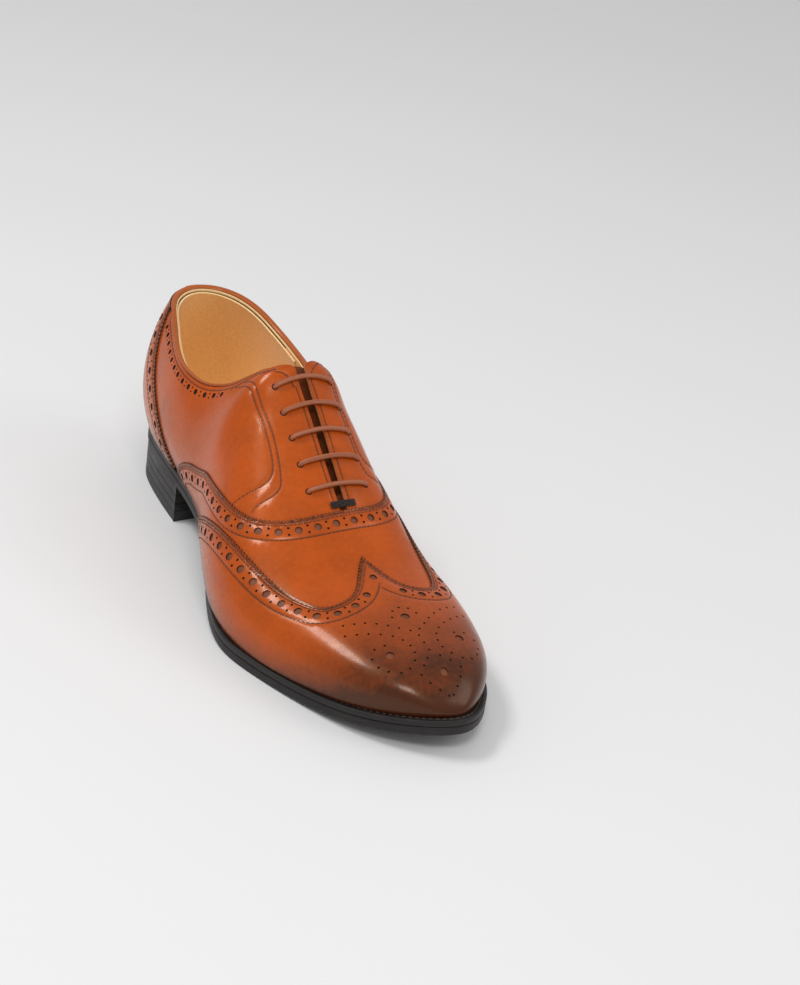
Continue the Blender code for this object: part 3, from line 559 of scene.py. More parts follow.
def piece(name, points, faces, finishes, body="root", slot=None, replaces=(), sharp=38.0, marks=None):
    """An object in the row frame, from points in metres, that rides on a body."""
    mesh = bpy.data.meshes.new(name)
    mesh.from_pydata([tuple(p) for p in points], [], [tuple(map(int, f)) for f, _ in faces])
    mesh.polygons.foreach_set("material_index", [k for _, k in faces])
    for finish in finishes:
        mesh.materials.append(finish)
    if marks is not None:
        mark_points(mesh, "polish_and_groove_shade", marks)
    mesh.shade_smooth()
    mesh.set_sharp_from_angle(angle=math.radians(sharp))
    mesh.validate()
    made = bpy.data.objects.new(name, mesh)
    bpy.context.scene.collection.objects.link(made)
    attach(made, body)
    if replaces:
        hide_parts(*replaces)
    return made


def inside(points, loop):
    """Which points lie inside a closed loop."""
    found = np.zeros(len(points), bool)
    for (ax, ay), (bx, by) in zip(loop, np.roll(loop, -1, axis=0)):
        if ay == by:
            continue
        crosses = (ay > points[:, 1]) != (by > points[:, 1])
        found ^= crosses & (points[:, 0] < (bx - ax) * (points[:, 1] - ay) / (by - ay) + ax)
    return found


def in_holes(points, holes):
    """Which flat points lie in any of the holes."""
    found = np.zeros(len(points), bool)
    for loop in holes:
        flat = loop * SPREAD
        near = np.flatnonzero(np.all((points > flat.min(0)) & (points < flat.max(0)), axis=1))
        found[near] |= inside(points[near], flat)
    return found


def loop_edges(faces):
    """Directed edges that belong to only one of the faces."""
    edges = {}
    for face in faces:
        for a, b in zip(face, (*face[1:], face[0])):
            edges[(a, b)] = edges.get((a, b), 0) + 1
    return [(a, b) for a, b in edges if (b, a) not in edges]


def cut_leather(name, outline, out, finishes, holes=(), grooves=(), spacing=2.3, thick=0.95,
                shade=None, burnt=(0.7, 1.2), **riding):
    """A piece of leather on the last: an outline with blind holes and sunken seams.
    Finishes are for the face, the holes, the cut edges and the floors of large holes. burnt
    is how dark the polish is at the edges, and its reach."""
    fixed = np.vstack([outline, *holes]) * SPREAD
    owner = np.concatenate([np.full(len(loop), k) for k, loop in enumerate([outline, *holes])])
    loop_sizes = np.array([len(outline), *(len(loop) for loop in holes)])
    edges = []
    start = 0
    for loop in [outline, *holes]:
        edges += [(start + k, start + (k + 1) % len(loop)) for k in range(len(loop))]
        start += len(loop)

    tree = tree_of(fixed)
    seam, sunk = [], []
    for groove in grooves:
        dots = evenly(groove, 1.5)
        for distance, depth in ((0.0, GROOVE_DEPTH), (0.75, 0.0), (-0.75, 0.0)):
            seam.append(beside(dots, distance) * SPREAD)
            sunk.append(np.full(len(dots), depth))
    if seam:
        seam, sunk = np.vstack(seam), np.concatenate(sunk)
        clear = (nearest(tree, seam) > 0.45) & inside(seam, outline * SPREAD)
        clear &= ~in_holes(seam, holes)
        seam, sunk = seam[clear], sunk[clear]
    else:
        seam, sunk = np.empty((0, 2)), np.empty(0)

    crowd = np.vstack([fixed, seam])
    tree = tree_of(crowd)
    low, high = crowd.min(0), crowd.max(0)
    across, along = np.meshgrid(*(np.arange(a, b, spacing) for a, b in zip(low, high)))
    along = along + (np.arange(across.shape[1]) % 2)[None, :] * spacing / 2
    lattice = np.stack([across.ravel(), along.ravel()], -1)
    lattice = lattice[inside(lattice, outline * SPREAD) & ~in_holes(lattice, holes)]
    lattice = lattice[nearest(tree, lattice) > 0.55 * spacing]

    flat = np.vstack([crowd, lattice])
    depth = np.concatenate([np.zeros(len(fixed)), sunk, np.zeros(len(lattice))])
    owner = np.concatenate([owner, np.full(len(seam) + len(lattice), -1)])
    made = delaunay_2d_cdt([Vector(p) for p in flat], edges, [], 0, 1e-4, True)
    corners, triangles, sources = np.array(made[0]), np.array(made[2]), made[3]
    first = np.array([source[0] if source else -1 for source in sources])
    kept = inside(corners[triangles].mean(1), outline * SPREAD)
    triangles = triangles[kept]
    owner = np.where(first >= 0, owner[first], -1)
    depth = np.where(first >= 0, depth[first], 0.0)
    of_hole = owner[triangles]
    is_floor = (of_hole[:, 0] > 0) & (of_hole[:, 0] == of_hole[:, 1]) & (of_hole[:, 1] == of_hole[:, 2])

    path = corners / SPREAD
    height = out(path)
    top = on_last(path, height - depth)
    count = len(top)
    bottom = on_last(path, height - thick)
    pits = on_last(path, height - thick * 0.8)
    points = np.vstack([top, bottom, pits])
    surface = [tuple(t) for t in triangles[~is_floor]]
    floor = [tuple(t) for t in triangles[is_floor]]
    faces = [(t, 0) for t in surface]
    floor_looks = np.where(loop_sizes[of_hole[is_floor][:, 0]] >= LARGE_CORNERS, len(finishes) - 1, 1)
    faces += [(tuple(c + 2 * count for c in t), int(look)) for t, look in zip(floor, floor_looks)]
    faces += [(tuple(c + count for c in t[::-1]), 2) for t in map(tuple, triangles)]
    faces += [((a, a + 2 * count, b + 2 * count, b)[::-1], 1) for b, a in loop_edges(floor)]
    faces += [((a, a + count, b + count, b), 2) for a, b in loop_edges(map(tuple, triangles))]

    edge = on_last(evenly(np.vstack([outline, outline[:1]]), 1.0))[:len(outline) * 4]
    away = nearest(tree_of(edge), on_last(path))
    # Marks: polish near the cut edges and from the shade function, plus painted shade along the bottoms of
    # the seam grooves.
    marks = burnt[0] * np.exp(-away / burnt[1]) + 0.6 * (depth > 0) + (shade(top) if shade else 0)
    marks = np.concatenate([marks, marks, marks])
    return piece(name, row_point(points), faces, finishes, marks=np.clip(marks, 0, 1), **riding)


def grid_piece(name, outer, inner, finishes, marks=None, **riding):
    """A thin solid between two grids of points, each rows by columns by 3."""
    rows, columns = outer.shape[:2]
    count = rows * columns
    points = np.vstack([outer.reshape(-1, 3), inner.reshape(-1, 3)])
    faces = []
    for r in range(rows - 1):
        for c in range(columns - 1):
            a = r * columns + c
            quad = (a, a + 1, a + columns + 1, a + columns)
            faces += [(quad, 0), (tuple(k + count for k in quad[::-1]), 0)]
    rim = loop_edges([f for f, _ in faces if max(f) < count])
    faces += [((b, a, a + count, b + count), len(finishes) - 1) for a, b in rim]
    points = row_point(points)
    return piece(name, points, outward(points, faces), finishes, marks=marks, **riding)


def volume(points, faces):
    return sum(np.dot(points[f[0]], np.cross(points[f[k]], points[f[k + 1]]))
               for f, _ in faces for k in range(1, len(f) - 1))


def sweep(name, route, section, finishes, steady=None, **riding):
    """A rod with a section of (across, up) points along a route of (x, s, z) points.
    steady is the section's up direction at each point, if it is known."""
    route = np.asarray(route, float)
    ahead = unit(np.gradient(route, axis=0))
    if steady is None:
        up = np.array([0.0, 0.0, 1.0])
        steady = []
        for direction in ahead:
            up = up - direction * np.dot(up, direction)
            up = up / max(np.linalg.norm(up), 1e-9)
            steady.append(up)
    up = unit(np.asarray(steady) - ahead * np.sum(np.asarray(steady) * ahead, -1, keepdims=True))
    across = np.cross(ahead, up)
    section = np.asarray(section, float)
    if section.ndim == 2:
        section = np.broadcast_to(section, (len(route), *section.shape))
    sides = section.shape[1]
    points = (route[:, None] + across[:, None] * section[..., :1] + up[:, None] * section[..., 1:])
    points = row_point(points.reshape(-1, 3))
    made = piece(name, points, outward(points, tube_faces(len(route), sides)), finishes, **riding)
    run = np.r_[0, np.cumsum(np.linalg.norm(np.diff(route, axis=0), axis=1))]
    mark_points(made.data, "along", np.repeat(run, sides))
    mark_points(made.data, "around", np.tile(np.arange(sides) / sides, len(route)))
    return made


def oval(half_width, half_height, sides=12):
    angles = np.arange(sides) * math.tau / sides
    return np.stack([half_width * np.cos(angles), half_height * np.sin(angles)], -1)


def stitches(places, finish, name, length=1.75, radius=0.27, **riding):
    """One mesh of short threads. Each place is (centres, ahead, normal), in millimetres."""
    centres, ahead, normal = (np.vstack(parts) for parts in zip(*places))
    left = np.cross(normal, ahead)
    angles = np.arange(6) * math.tau / 6
    template = [(-length / 2, 0.0, -0.2)]
    for along, size in ((-0.32, 0.8), (0.0, 1.0), (0.32, 0.8)):
        template += [(along * length, size * radius * math.cos(a), size * radius * math.sin(a))
                     for a in angles]
    template.append((length / 2, 0.0, -0.2))
    template = np.array(template)
    points = (centres[:, None] + template[None, :, :1] * ahead[:, None]
              + template[None, :, 1:2] * left[:, None] + template[None, :, 2:] * normal[:, None])
    shape = [(0, 1 + (k + 1) % 6, 1 + k) for k in range(6)]
    for ring in (1, 7):
        shape += [(ring + k, ring + (k + 1) % 6, ring + 6 + (k + 1) % 6,
                   ring + 6 + k) for k in range(6)]
    shape += [(19, 13 + k, 13 + (k + 1) % 6) for k in range(6)]
    shape = outward(row_point(points[0]), [(f, 0) for f in shape])
    faces = [(tuple(20 * n + c for c in f), 0) for n in range(len(centres)) for f, _ in shape]
    return piece(name, row_point(points.reshape(-1, 3)), faces, [finish], **riding)


def seam_places(path, out, pitch=2.35):
    """Where the stitches of a seam lie: between its needle holes."""
    dots = evenly(path, pitch, 0.6)
    ahead, _, normal = frames(dots)
    middles = (dots[1:] + dots[:-1]) / 2
    centres = on_last(middles, out(middles) + 0.02 - GROOVE_DEPTH * 0.4)
    return centres, unit(ahead[1:] + ahead[:-1]), unit(normal[1:] + normal[:-1])


def plate(name, outline, low, high, finishes, rounding=0.7, **riding):
    """A flat layer of the sole with rounded edges. The outline is a closed list of (x, s),
    and low and high are heights as functions of s."""
    outline = np.asarray(outline, float)
    middle = outline.mean(0)
    run = unit(np.roll(outline, -1, axis=0) - np.roll(outline, 1, axis=0))
    inward = np.stack([-run[:, 1], run[:, 0]], -1)
    if np.sum(inward * (middle - outline)) < 0:
        inward = -inward
    loops = []
    for share in (0.02, 0.3, 0.6, 0.85):
        flat = middle + (outline - middle) * share
        loops.append(np.c_[flat, high(flat[:, 1])])
    for a in np.linspace(0, math.pi / 2, 5):
        flat = outline + inward * rounding * (1.001 - math.sin(a))
        loops.append(np.c_[flat, high(flat[:, 1]) - rounding * (1 - math.cos(a))])
    for a in np.linspace(math.pi / 2, 0, 5):
        flat = outline + inward * rounding * (1.001 - math.sin(a))
        loops.append(np.c_[flat, low(flat[:, 1]) + rounding * (1 - math.cos(a))])
    for share in (0.85, 0.6, 0.3, 0.02):
        flat = middle + (outline - middle) * share
        loops.append(np.c_[flat, low(flat[:, 1])])
    points = row_point(np.vstack(loops))
    faces = outward(points, tube_faces(len(loops), len(outline)))
    return piece(name, points, faces, finishes, **riding)


# --- finishes -----------------------------------------------------------------

class Finish:
    """A node material under construction: a Principled shader and helpers to feed it."""

    def __init__(self, name, roughness, metallic=0.0, coat=0.0, coat_roughness=0.2, sheen=0.0,
                 specular=0.5):
        self.material = bpy.data.materials.new(name)
        self.material.use_nodes = True
        self.tree = self.material.node_tree
        self.shader = self.tree.nodes["Principled BSDF"]
        for socket, value in (("Roughness", roughness), ("Metallic", metallic), ("Coat Weight", coat),
                              ("Coat Roughness", coat_roughness), ("Sheen Weight", sheen),
                              ("Specular IOR Level", specular)):
            self.shader.inputs[socket].default_value = value
        self.place = self.node("ShaderNodeTexCoord").outputs["Object"]

    def node(self, kind, **settings):
        made = self.tree.nodes.new(kind)
        for key, value in settings.items():
            setattr(made, key, value)
        return made

    def link(self, source, target):
        self.tree.links.new(source, target)

    def noise(self, scale, detail=3.0, stretch=None):
        made = self.node("ShaderNodeTexNoise")
        made.inputs["Scale"].default_value = scale
        made.inputs["Detail"].default_value = detail
        where = self.place
        if stretch:
            mapping = self.node("ShaderNodeMapping")
            mapping.inputs["Scale"].default_value = stretch
            self.link(self.place, mapping.inputs["Vector"])
            where = mapping.outputs["Vector"]
        self.link(where, made.inputs["Vector"])
        return made.outputs["Fac"]

    def cells(self, scale):
        made = self.node("ShaderNodeTexVoronoi")
        made.inputs["Scale"].default_value = scale
        self.link(self.place, made.inputs["Vector"])
        return made.outputs["Distance"]

    def mark(self, name):
        return self.node("ShaderNodeAttribute", attribute_name=name).outputs["Fac"]

    def ramp(self, source, low, high, out_low=0.0, out_high=1.0):
        made = self.node("ShaderNodeMapRange")
        for socket, value in (("From Min", low), ("From Max", high),
                              ("To Min", out_low), ("To Max", out_high)):
            made.inputs[socket].default_value = value
        self.link(source, made.inputs["Value"])
        return made.outputs["Result"]

    def math(self, operation, first, second):
        made = self.node("ShaderNodeMath", operation=operation)
        for socket, value in zip(made.inputs, (first, second)):
            if isinstance(value, (int, float)):
                socket.default_value = value
            else:
                self.link(value, socket)
        return made.outputs[0]

    def mix(self, share, first, second):
        made = self.node("ShaderNodeMix", data_type="RGBA")
        self.link(share, made.inputs["Factor"])
        for socket, value in ((made.inputs[6], first), (made.inputs[7], second)):
            if isinstance(value, tuple):
                socket.default_value = (*value, 1)
            else:
                self.link(value, socket)
        return made.outputs[2]

    def colour(self, source):
        self.link(source, self.shader.inputs["Base Color"])

    def roughness(self, source, low, high):
        self.link(self.ramp(source, 0.3, 0.7, low, high), self.shader.inputs["Roughness"])

    def bump(self, source, depth, strength=1.0):
        made = self.node("ShaderNodeBump")
        made.inputs["Distance"].default_value = depth * MM
        made.inputs["Strength"].default_value = strength
        self.link(source, made.inputs["Height"])
        self.link(made.outputs["Normal"], self.shader.inputs["Normal"])


def calf(name, light, dark, roughness=(0.24, 0.38), coat=0.3):
    """Burnished calf: darker where it is marked, by polish and by painted shade in the seam grooves, with a
    fine grain under a polish.
    """
    finish = Finish(name, 0.3, coat=coat, coat_roughness=0.15, specular=0.4)
    finish.shader.inputs["Specular Tint"].default_value = (1.0, 0.62, 0.36, 1)
    finish.shader.inputs["Coat Tint"].default_value = (1.0, 0.86, 0.72, 1)
    cloud = finish.ramp(finish.noise(38.0, 2.0), 0.35, 0.7, 0.0, 0.22)
    fleck = finish.ramp(finish.noise(420.0, 3.0), 0.35, 0.75, 0.0, 0.14)
    share = finish.math("ADD", finish.math("ADD", cloud, fleck), finish.mark("polish_and_groove_shade"))
    finish.colour(finish.mix(finish.math("MINIMUM", share, 1.0), light, dark))
    finish.roughness(finish.noise(240.0, 3.0), *roughness)
    grain = finish.math("ADD", finish.cells(1500.0), finish.math("MULTIPLY", finish.noise(700.0, 4.0),
                                                                 0.8))
    finish.bump(grain, 0.05, 0.5)
    return finish.material


def plain(name, light, dark, roughness, scale=300.0, bump=0.04, stretch=None, **settings):
    """A finish with a mottled colour and a fine relief of its own scale."""
    finish = Finish(name, sum(roughness) / 2, **settings)
    pattern = finish.noise(scale, 4.0, stretch)
    finish.colour(finish.mix(finish.ramp(pattern, 0.3, 0.7), light, dark))
    finish.roughness(finish.noise(scale * 0.4, 2.0), *roughness)
    finish.bump(pattern, bump, 0.7)
    return finish.material


def braid(name, light, dark):
    """A waxed round lace: two families of strands that wind in opposite ways."""
    finish = Finish(name, 0.5, coat=0.15, coat_roughness=0.35)
    along, around = finish.mark("along"), finish.mark("around")
    weave = None
    for way in (1, -1):
        phase = finish.math("ADD", finish.math("MULTIPLY", along, 3.2),
                            finish.math("MULTIPLY", around, way * math.tau * 4))
        strand = finish.math("ABSOLUTE", finish.math("SINE", phase, 0.0), 0.0)
        weave = strand if weave is None else finish.math("MULTIPLY", weave, strand)
    # Darker in the grooves between the strands, where the bump sinks: painted shade on strands of one
    # colour.
    finish.colour(finish.mix(finish.ramp(weave, 0.0, 0.8), dark, light))
    finish.roughness(finish.noise(500.0), 0.38, 0.6)
    finish.bump(weave, 0.12, 0.8)
    return finish.material


def dress(node, material):
    """Puts a new material on a CAD piece that is carried over."""
    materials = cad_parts[node].data.materials
    materials.clear()
    materials.append(material)


# --- camera, light and floor --------------------------------------------------

def aim(obj, at):
    obj.rotation_mode = "QUATERNION"
    obj.rotation_quaternion = (Vector(at) - obj.location).to_track_quat("-Z", "Y")


def make_camera():
    camera = bpy.data.objects.new("camera", bpy.data.cameras.new("camera"))
    bpy.context.scene.collection.objects.link(camera)
    camera.data.lens = CAMERA_LENS
    camera.data.clip_start = 0.05
    azimuth, elevation, roll = (math.radians(a) for a in (CAMERA_AZIMUTH, CAMERA_ELEVATION,
                                                          CAMERA_ROLL))
    forward = Vector((math.sin(azimuth) * math.cos(elevation),
                      math.cos(azimuth) * math.cos(elevation), -math.sin(elevation)))
    level = Vector((math.cos(azimuth), -math.sin(azimuth), 0))
    upright = level.cross(forward)
    right = math.cos(roll) * level + math.sin(roll) * upright
    up = math.cos(roll) * upright - math.sin(roll) * level
    turned = Matrix((right, up, -forward)).transposed().to_4x4()
    camera.matrix_world = Matrix.Translation(CAMERA_PLACE) @ turned
    bpy.context.scene.camera = camera


def make_stage():
    for name, place, width, height, power in SOFTBOXES:
        lamp = bpy.data.lights.new(name, "AREA")
        lamp.shape = "RECTANGLE"
        lamp.size, lamp.size_y, lamp.energy = width, height, power
        box = bpy.data.objects.new(name, lamp)
        box.location = place
        bpy.context.scene.collection.objects.link(box)
        aim(box, (0.0, 0.0, 0.05))
    world = bpy.data.worlds.new("studio")
    world.use_nodes = True
    sky = world.node_tree.nodes["Background"]
    sky.inputs["Color"].default_value = (1.0, 1.0, 1.0, 1)
    sky.inputs["Strength"].default_value = WORLD_STRENGTH
    bpy.context.scene.world = world
    bpy.context.scene.view_settings.view_transform = "Standard"
    mesh = bpy.data.meshes.new("floor")
    corners = [(FLOOR_HALF * x, FLOOR_HALF * y, 0) for x, y in ((-1, -1), (1, -1), (1, 1), (-1, 1))]
    mesh.from_pydata(corners, [], [(0, 1, 2, 3)])
    floor = bpy.data.objects.new("floor", mesh)
    bpy.context.scene.collection.objects.link(floor)
    paint = plain("floor_paint", (0.80, 0.80, 0.80), (0.79, 0.79, 0.79), (0.6, 0.7), 3.0, 0.0)
    mesh.materials.append(paint)


# --- the sole and heel --------------------------------------------------------

def sole_loop(inset=0.0, steps=90, end=LENGTH):
    """The sole's outline as a closed loop, or the back part of it, up to a straight edge."""
    turns = np.linspace(0, float(sole_turn(end)), steps)
    s = LENGTH * (1 - np.cos(math.pi * turns)) / 2
    back = np.c_[sole_edge(s, -1), s]
    front = np.c_[sole_edge(s, 1), s][::-1]
    loop = np.vstack([back, front[1:] if end == LENGTH else front])[:-1]
    if end < LENGTH:
        across = np.linspace(loop[steps - 1], loop[steps], 12)[1:-1]
        loop = np.vstack([loop[:steps], across, loop[steps:]])
    if inset:
        run = unit(np.roll(loop, -1, axis=0) - np.roll(loop, 1, axis=0))
        loop = loop + np.stack([run[:, 1], -run[:, 0]], -1) * -inset * np.sign(loop_area(loop))
    return loop


def loop_area(loop):
    following = np.roll(loop, -1, axis=0)
    return np.sum(loop[:, 0] * following[:, 1] - loop[:, 1] * following[:, 0]) / 2


def height_over(rise):
    return lambda s: bottom_height(s) + rise


def make_sole(finish):
    edge = finish["sole_edge"]
    plate("outsole_shaped", sole_loop(), bottom_height, height_over(OUTSOLE_THICK), [edge], 0.9,
          slot="sole_leather", replaces=["outsole"])
    inner = sole_loop(WELT_INNER_INSET)
    loops = [np.c_[inner, height_over(WELT_LOW)(inner[:, 1])]]
    for z, turn in ((WELT_LOW, 1), (WELT_HIGH, -1)):
        for a in np.linspace(0, math.pi / 2, 4)[::turn]:
            flat = sole_loop(WELT_ROUNDING * (1.001 - math.sin(a)))
            rise = turn * WELT_ROUNDING * (1 - math.cos(a))
            loops.append(np.c_[flat, height_over(z)(flat[:, 1]) + rise])
    for inset in (1.4, 2.3, WELT_SEAM_INSET, 3.1, 4.0):
        flat = sole_loop(inset)
        dip = 0.3 if inset == WELT_SEAM_INSET else 0.0
        loops.append(np.c_[flat, height_over(WELT_HIGH)(flat[:, 1]) - dip])
    loops.append(np.c_[inner, height_over(WELT_HIGH)(inner[:, 1])])
    points = row_point(np.vstack(loops))
    faces = outward(points, tube_faces(len(loops), len(inner), closed=True))
    piece("welt_shaped", points, faces, [edge], slot="sole_leather", replaces=["welt"])

    seam = sole_loop(WELT_SEAM_INSET, 400)
    seam = seam[seam[:, 1] > BREAST_S + 4]
    start = int(np.argmax(np.linalg.norm(np.diff(seam, axis=0), axis=1))) + 1
    seam = np.roll(seam, -start, axis=0) if start < len(seam) and start > 1 else seam
    run = np.r_[0, np.cumsum(np.linalg.norm(np.diff(seam, axis=0), axis=1))]
    at = np.arange(0, run[-1], WELT_SEAM_PITCH)
    dots = np.stack([np.interp(at, run, seam[:, k]) for k in (0, 1)], -1)
    points = np.c_[dots, bottom_height(dots[:, 1]) + WELT_HIGH + 0.08]
    middles = (points[1:] + points[:-1]) / 2
    up = np.tile([0.0, 0.0, 1.0], (len(middles), 1))
    stitches([(middles, unit(np.diff(points, axis=0)), up)], finish["welt_thread"], "welt_stitches",
             2.5, 0.36, slot="sole_leather")

    names = ("heel_top_piece", "heel_lift_1", "heel_lift_2", "heel_lift_3")
    tops = [*HEEL_LAYERS[1:], None]
    loop = sole_loop(0.45, 70, BREAST_S)
    for name, low, top in zip(names, HEEL_LAYERS, tops):
        floor = low + (LIFT_LINE if low else 0.0)
        ceiling = (lambda s, z=top: np.full_like(s, z - LIFT_CLEAR)) if top else height_over(-LIFT_LINE)
        plate(f"{name}_shaped", loop, lambda s, z=floor: np.full_like(s, z), ceiling,
              [finish["rubber"] if name == "heel_top_piece" else finish["stack"]], 0.35,
              slot="heel_rubber" if name == "heel_top_piece" else "heel_stack_leather", replaces=[name])
    for number in range(1, 6):
        dress(f"heel_nail_{number}", finish["steel"])


# --- the upper ----------------------------------------------------------------

def edge_path(edge, low=-1.0, high=1.0, steps=241):
    """A path across the shoe whose s is given by the share of the way down each side."""
    w = np.linspace(low, high, steps)
    return np.stack([last_turn(edge(np.abs(w))), w], -1)


def sides_of(start_s, end_s, w, steps=60):
    return np.stack([last_turn(np.linspace(start_s, end_s, steps)), np.full(steps, float(w))], -1)


def rising(edge, base, full, reach):
    """Height over the last that grows from the edge inwards, as a skived edge does."""
    tree = tree_of(on_last(edge))

    def out(path):
        share = np.clip(nearest(tree, on_last(np.asarray(path, float))) / reach, 0, 1)
        return base + (full - base) * share * share * (3 - 2 * share)
    return out


def shading(points):
    """Where polish has darkened the leather: the toe, the heel and along the sole."""
    s, z = points[:, 1], points[:, 2]
    over_sole = z - bottom_height(s)
    toe = np.clip((s - 218) / 58, 0, 1) ** 1.1
    low = np.clip(1 - (over_sole - 8) / 15, 0, 1) ** 1.3
    heel = np.clip(1 - s / 30, 0, 1)
    return 0.82 * toe + 0.55 * low + 0.25 * heel


def quarter_outline(side):
    """Topline, slit, a hidden front edge under the vamp, feather line and a hidden back edge."""
    def at(s, below=TOPLINE_DROP):
        turn = last_turn(np.asarray(s, float))
        return np.stack([turn, side * top_q(turn, side, below)], -1)
    corner = softened(np.vstack([at([106, 108.5, 111, 112.6]), at([115.2, 118, 121, 124], 0.0)]), 4)
    top = np.vstack([at(np.linspace(22, 105, 60)), corner, at(np.linspace(126, FACING_END_S, 30), 0.0)])
    q = np.linspace(0.03, 0.985, 70)
    front = np.stack([last_turn(vamp_edge(q) + 7), side * q], -1)
    bottom = sides_of(float(vamp_edge(1.0)) + 6, 58, side, 10)
    back = foxing_path(side, np.linspace(1, 0, 16), 6)
    return top, np.vstack([top, front[1:], bottom, back[:-1]])


def foxing_path(side, share, behind=0.0):
    """Down the front edge of the heel foxing, or a distance behind it."""
    turn = last_turn(spline(FOXING_ROW, FOXING_S, share) - behind)
    q_top = top_q(turn, side, TOPLINE_DROP)
    return np.stack([turn, side * (q_top + (LOW_Q - q_top) * share)], -1)


def level(height=0.0):
    """The same height over the last everywhere."""
    return lambda path: np.full(len(path), height)


def wound(outline):
    """The outline turned anticlockwise, as the mesher expects."""
    return outline if loop_area(outline * SPREAD) > 0 else outline[::-1]


def make_quarters(finish, seams):
    for side, name in SIDES:
        top, outline = quarter_outline(side)
        inward = -side
        eyelets = []
        for s in EYELET_S:
            turn = turn_at(s)
            eyelets.append([turn, side * float(q_at_offset(turn, side, EYELET_OFFSET))])
        holes = rings(np.array(eyelets), 1.75, 12)
        run = lengths(top)
        ankle = top[(last_s(top[:, 0]) > 25) & (last_s(top[:, 0]) < 93) & (run < run[-1] * 0.6)]
        holes += topline_holes(ankle, inward)
        ankle_edge = top[last_s(top[:, 0]) > 24]
        ankle_edge = ankle_edge[:int(np.argmax(last_s(ankle_edge[:, 0]) > 114.5))]
        rows = [beside(evenly(ankle_edge, SEAM_STEP), inward * SEAM_INSET)]
        rows += [drawn_seam(side, points) for points in (FACING_SEAM, *STAY_SEAMS)]
        rows[1] = np.vstack([rows[1], slit_seam(side)])
        cut_leather(f"quarter_{name}_leather", wound(outline), level(),
                    leather_looks(finish, "cut_edge"), holes, rows,
                    shade=shading, burnt=(0.25, 0.6), slot="calf_tan", replaces=[f"quarter_{name}"])
        seams += [seam_places(row, level()) for row in rows]


def topline_holes(ankle, inward):
    spots = evenly(ankle, 2.9, 1.0)
    ahead = frames(spots)[0]
    row = beside(spots, inward * 5.0)
    holes = rings(row[0::2], 1.2, 10, frames(row)[1][0::2], 1.3)
    for distance in (3.9, 6.1):
        holes += rings(beside(spots, inward * distance)[1::2], 0.5, 7)
    return holes


def drawn_seam(side, points):
    """A seam through corners given as (s, q), with the corners rounded."""
    return evenly(softened(np.array([[turn_at(s), side * q] for s, q in points]), 3), SEAM_STEP)


def slit_seam(side):
    """The seam down the edge of a facing, as far as the vamp."""
    s = np.linspace(126, FACING_END_S - 7, 40)
    half = np.interp(s, (SLIT_TOP_S, THROAT_S), (SLIT_HALF_TOP, SLIT_HALF_THROAT)) + SEAM_INSET
    turn = last_turn(s)
    return np.stack([turn, side * q_at_offset(turn, side, half)], -1)


def beside_edge(edge, way):
    """The seams along a pinked edge, and the line of its brogueing, to one side of it."""
    even = evenly(edge, SEAM_STEP)
    seams = [beside(even, way * inset) for inset in (*EDGE_SEAMS, LOWER_SEAM_INSET)]
    return seams, beside(even, way * HOLE_ROW_INSET)


def leather_looks(finish, edge):
    """Finishes for a leather's face, holes, cut edges and the floors of large holes."""
    return [finish[look] for look in ("calf", "hole", edge, "hole_floor")]


def make_vamp(finish, seams):
    back = edge_path(vamp_edge)
    out = rising(back, 0.95, 1.5, 9.0)
    front = edge_path(lambda q: wing_edge(q) + 9)[::-1]
    outline = np.vstack([pinked(back, 1), sides_of(73, 115, 1, 20), front, sides_of(115, 73, -1, 20)])
    rows, hole_row = beside_edge(back, 1)
    cut_leather("vamp_leather", wound(outline), out, leather_looks(finish, "dark_edge"),
                brogue_row(hole_row), rows, shade=shading, slot="calf_tan", replaces=["vamp"])
    seams += [seam_places(row, out) for row in rows]


def make_wing(finish, seams):
    back = edge_path(wing_edge)
    out = rising(back, 2.5, 3.2, 9.0)
    tip = np.linspace(0, 1, 60)
    rim = np.stack([turn_at(110) + (0.999 - turn_at(110)) * tip, np.ones(60)], -1)
    outline = np.vstack([pinked(back, 1), rim, (rim * [1, -1])[::-1]])
    rows = []
    holes = []
    for side in (-1, 1):
        half = edge_path(wing_edge, 0, side)[1:]
        half_rows, hole_row = beside_edge(half, side)
        rows += [row[np.sign(row[:, 1]) == side] for row in half_rows]
        holes += brogue_row(hole_row[np.abs(hole_row[:, 1]) > PEAK_ROWS_FROM], margin=3.5)
    holes += rings(locate([PEAK_HOLE], 3.0), 1.95, LARGE_CORNERS) + medallion()
    cut_leather("wing_cap_leather", wound(outline), out, leather_looks(finish, "dark_edge"),
                holes, rows, shade=shading, slot="calf_tan", replaces=["wing_cap", "toe_puff"])
    seams += [seam_places(row, out) for row in rows]


def medallion():
    """The toe's pattern: four large holes, and rows of small ones that wind between them."""
    middle_x, middle_s = MEDALLION_LARGE[0]
    small = [(middle_x, s) for s in MEDALLION_SPINE]
    for side in (-1, 1):
        for row in MEDALLION_ROWS:
            small += [(middle_x + side * distance, s) for distance, s in row]
    for angle in np.radians((-80, -40, 0, 40, 80)):
        small.append((middle_x + 6.6 * math.sin(angle), middle_s - 6.6 * math.cos(angle)))
    large = rings(locate(MEDALLION_LARGE, 3.0), 2.1, LARGE_CORNERS)
    return large + rings(locate(small, 3.0), 0.62, 7)


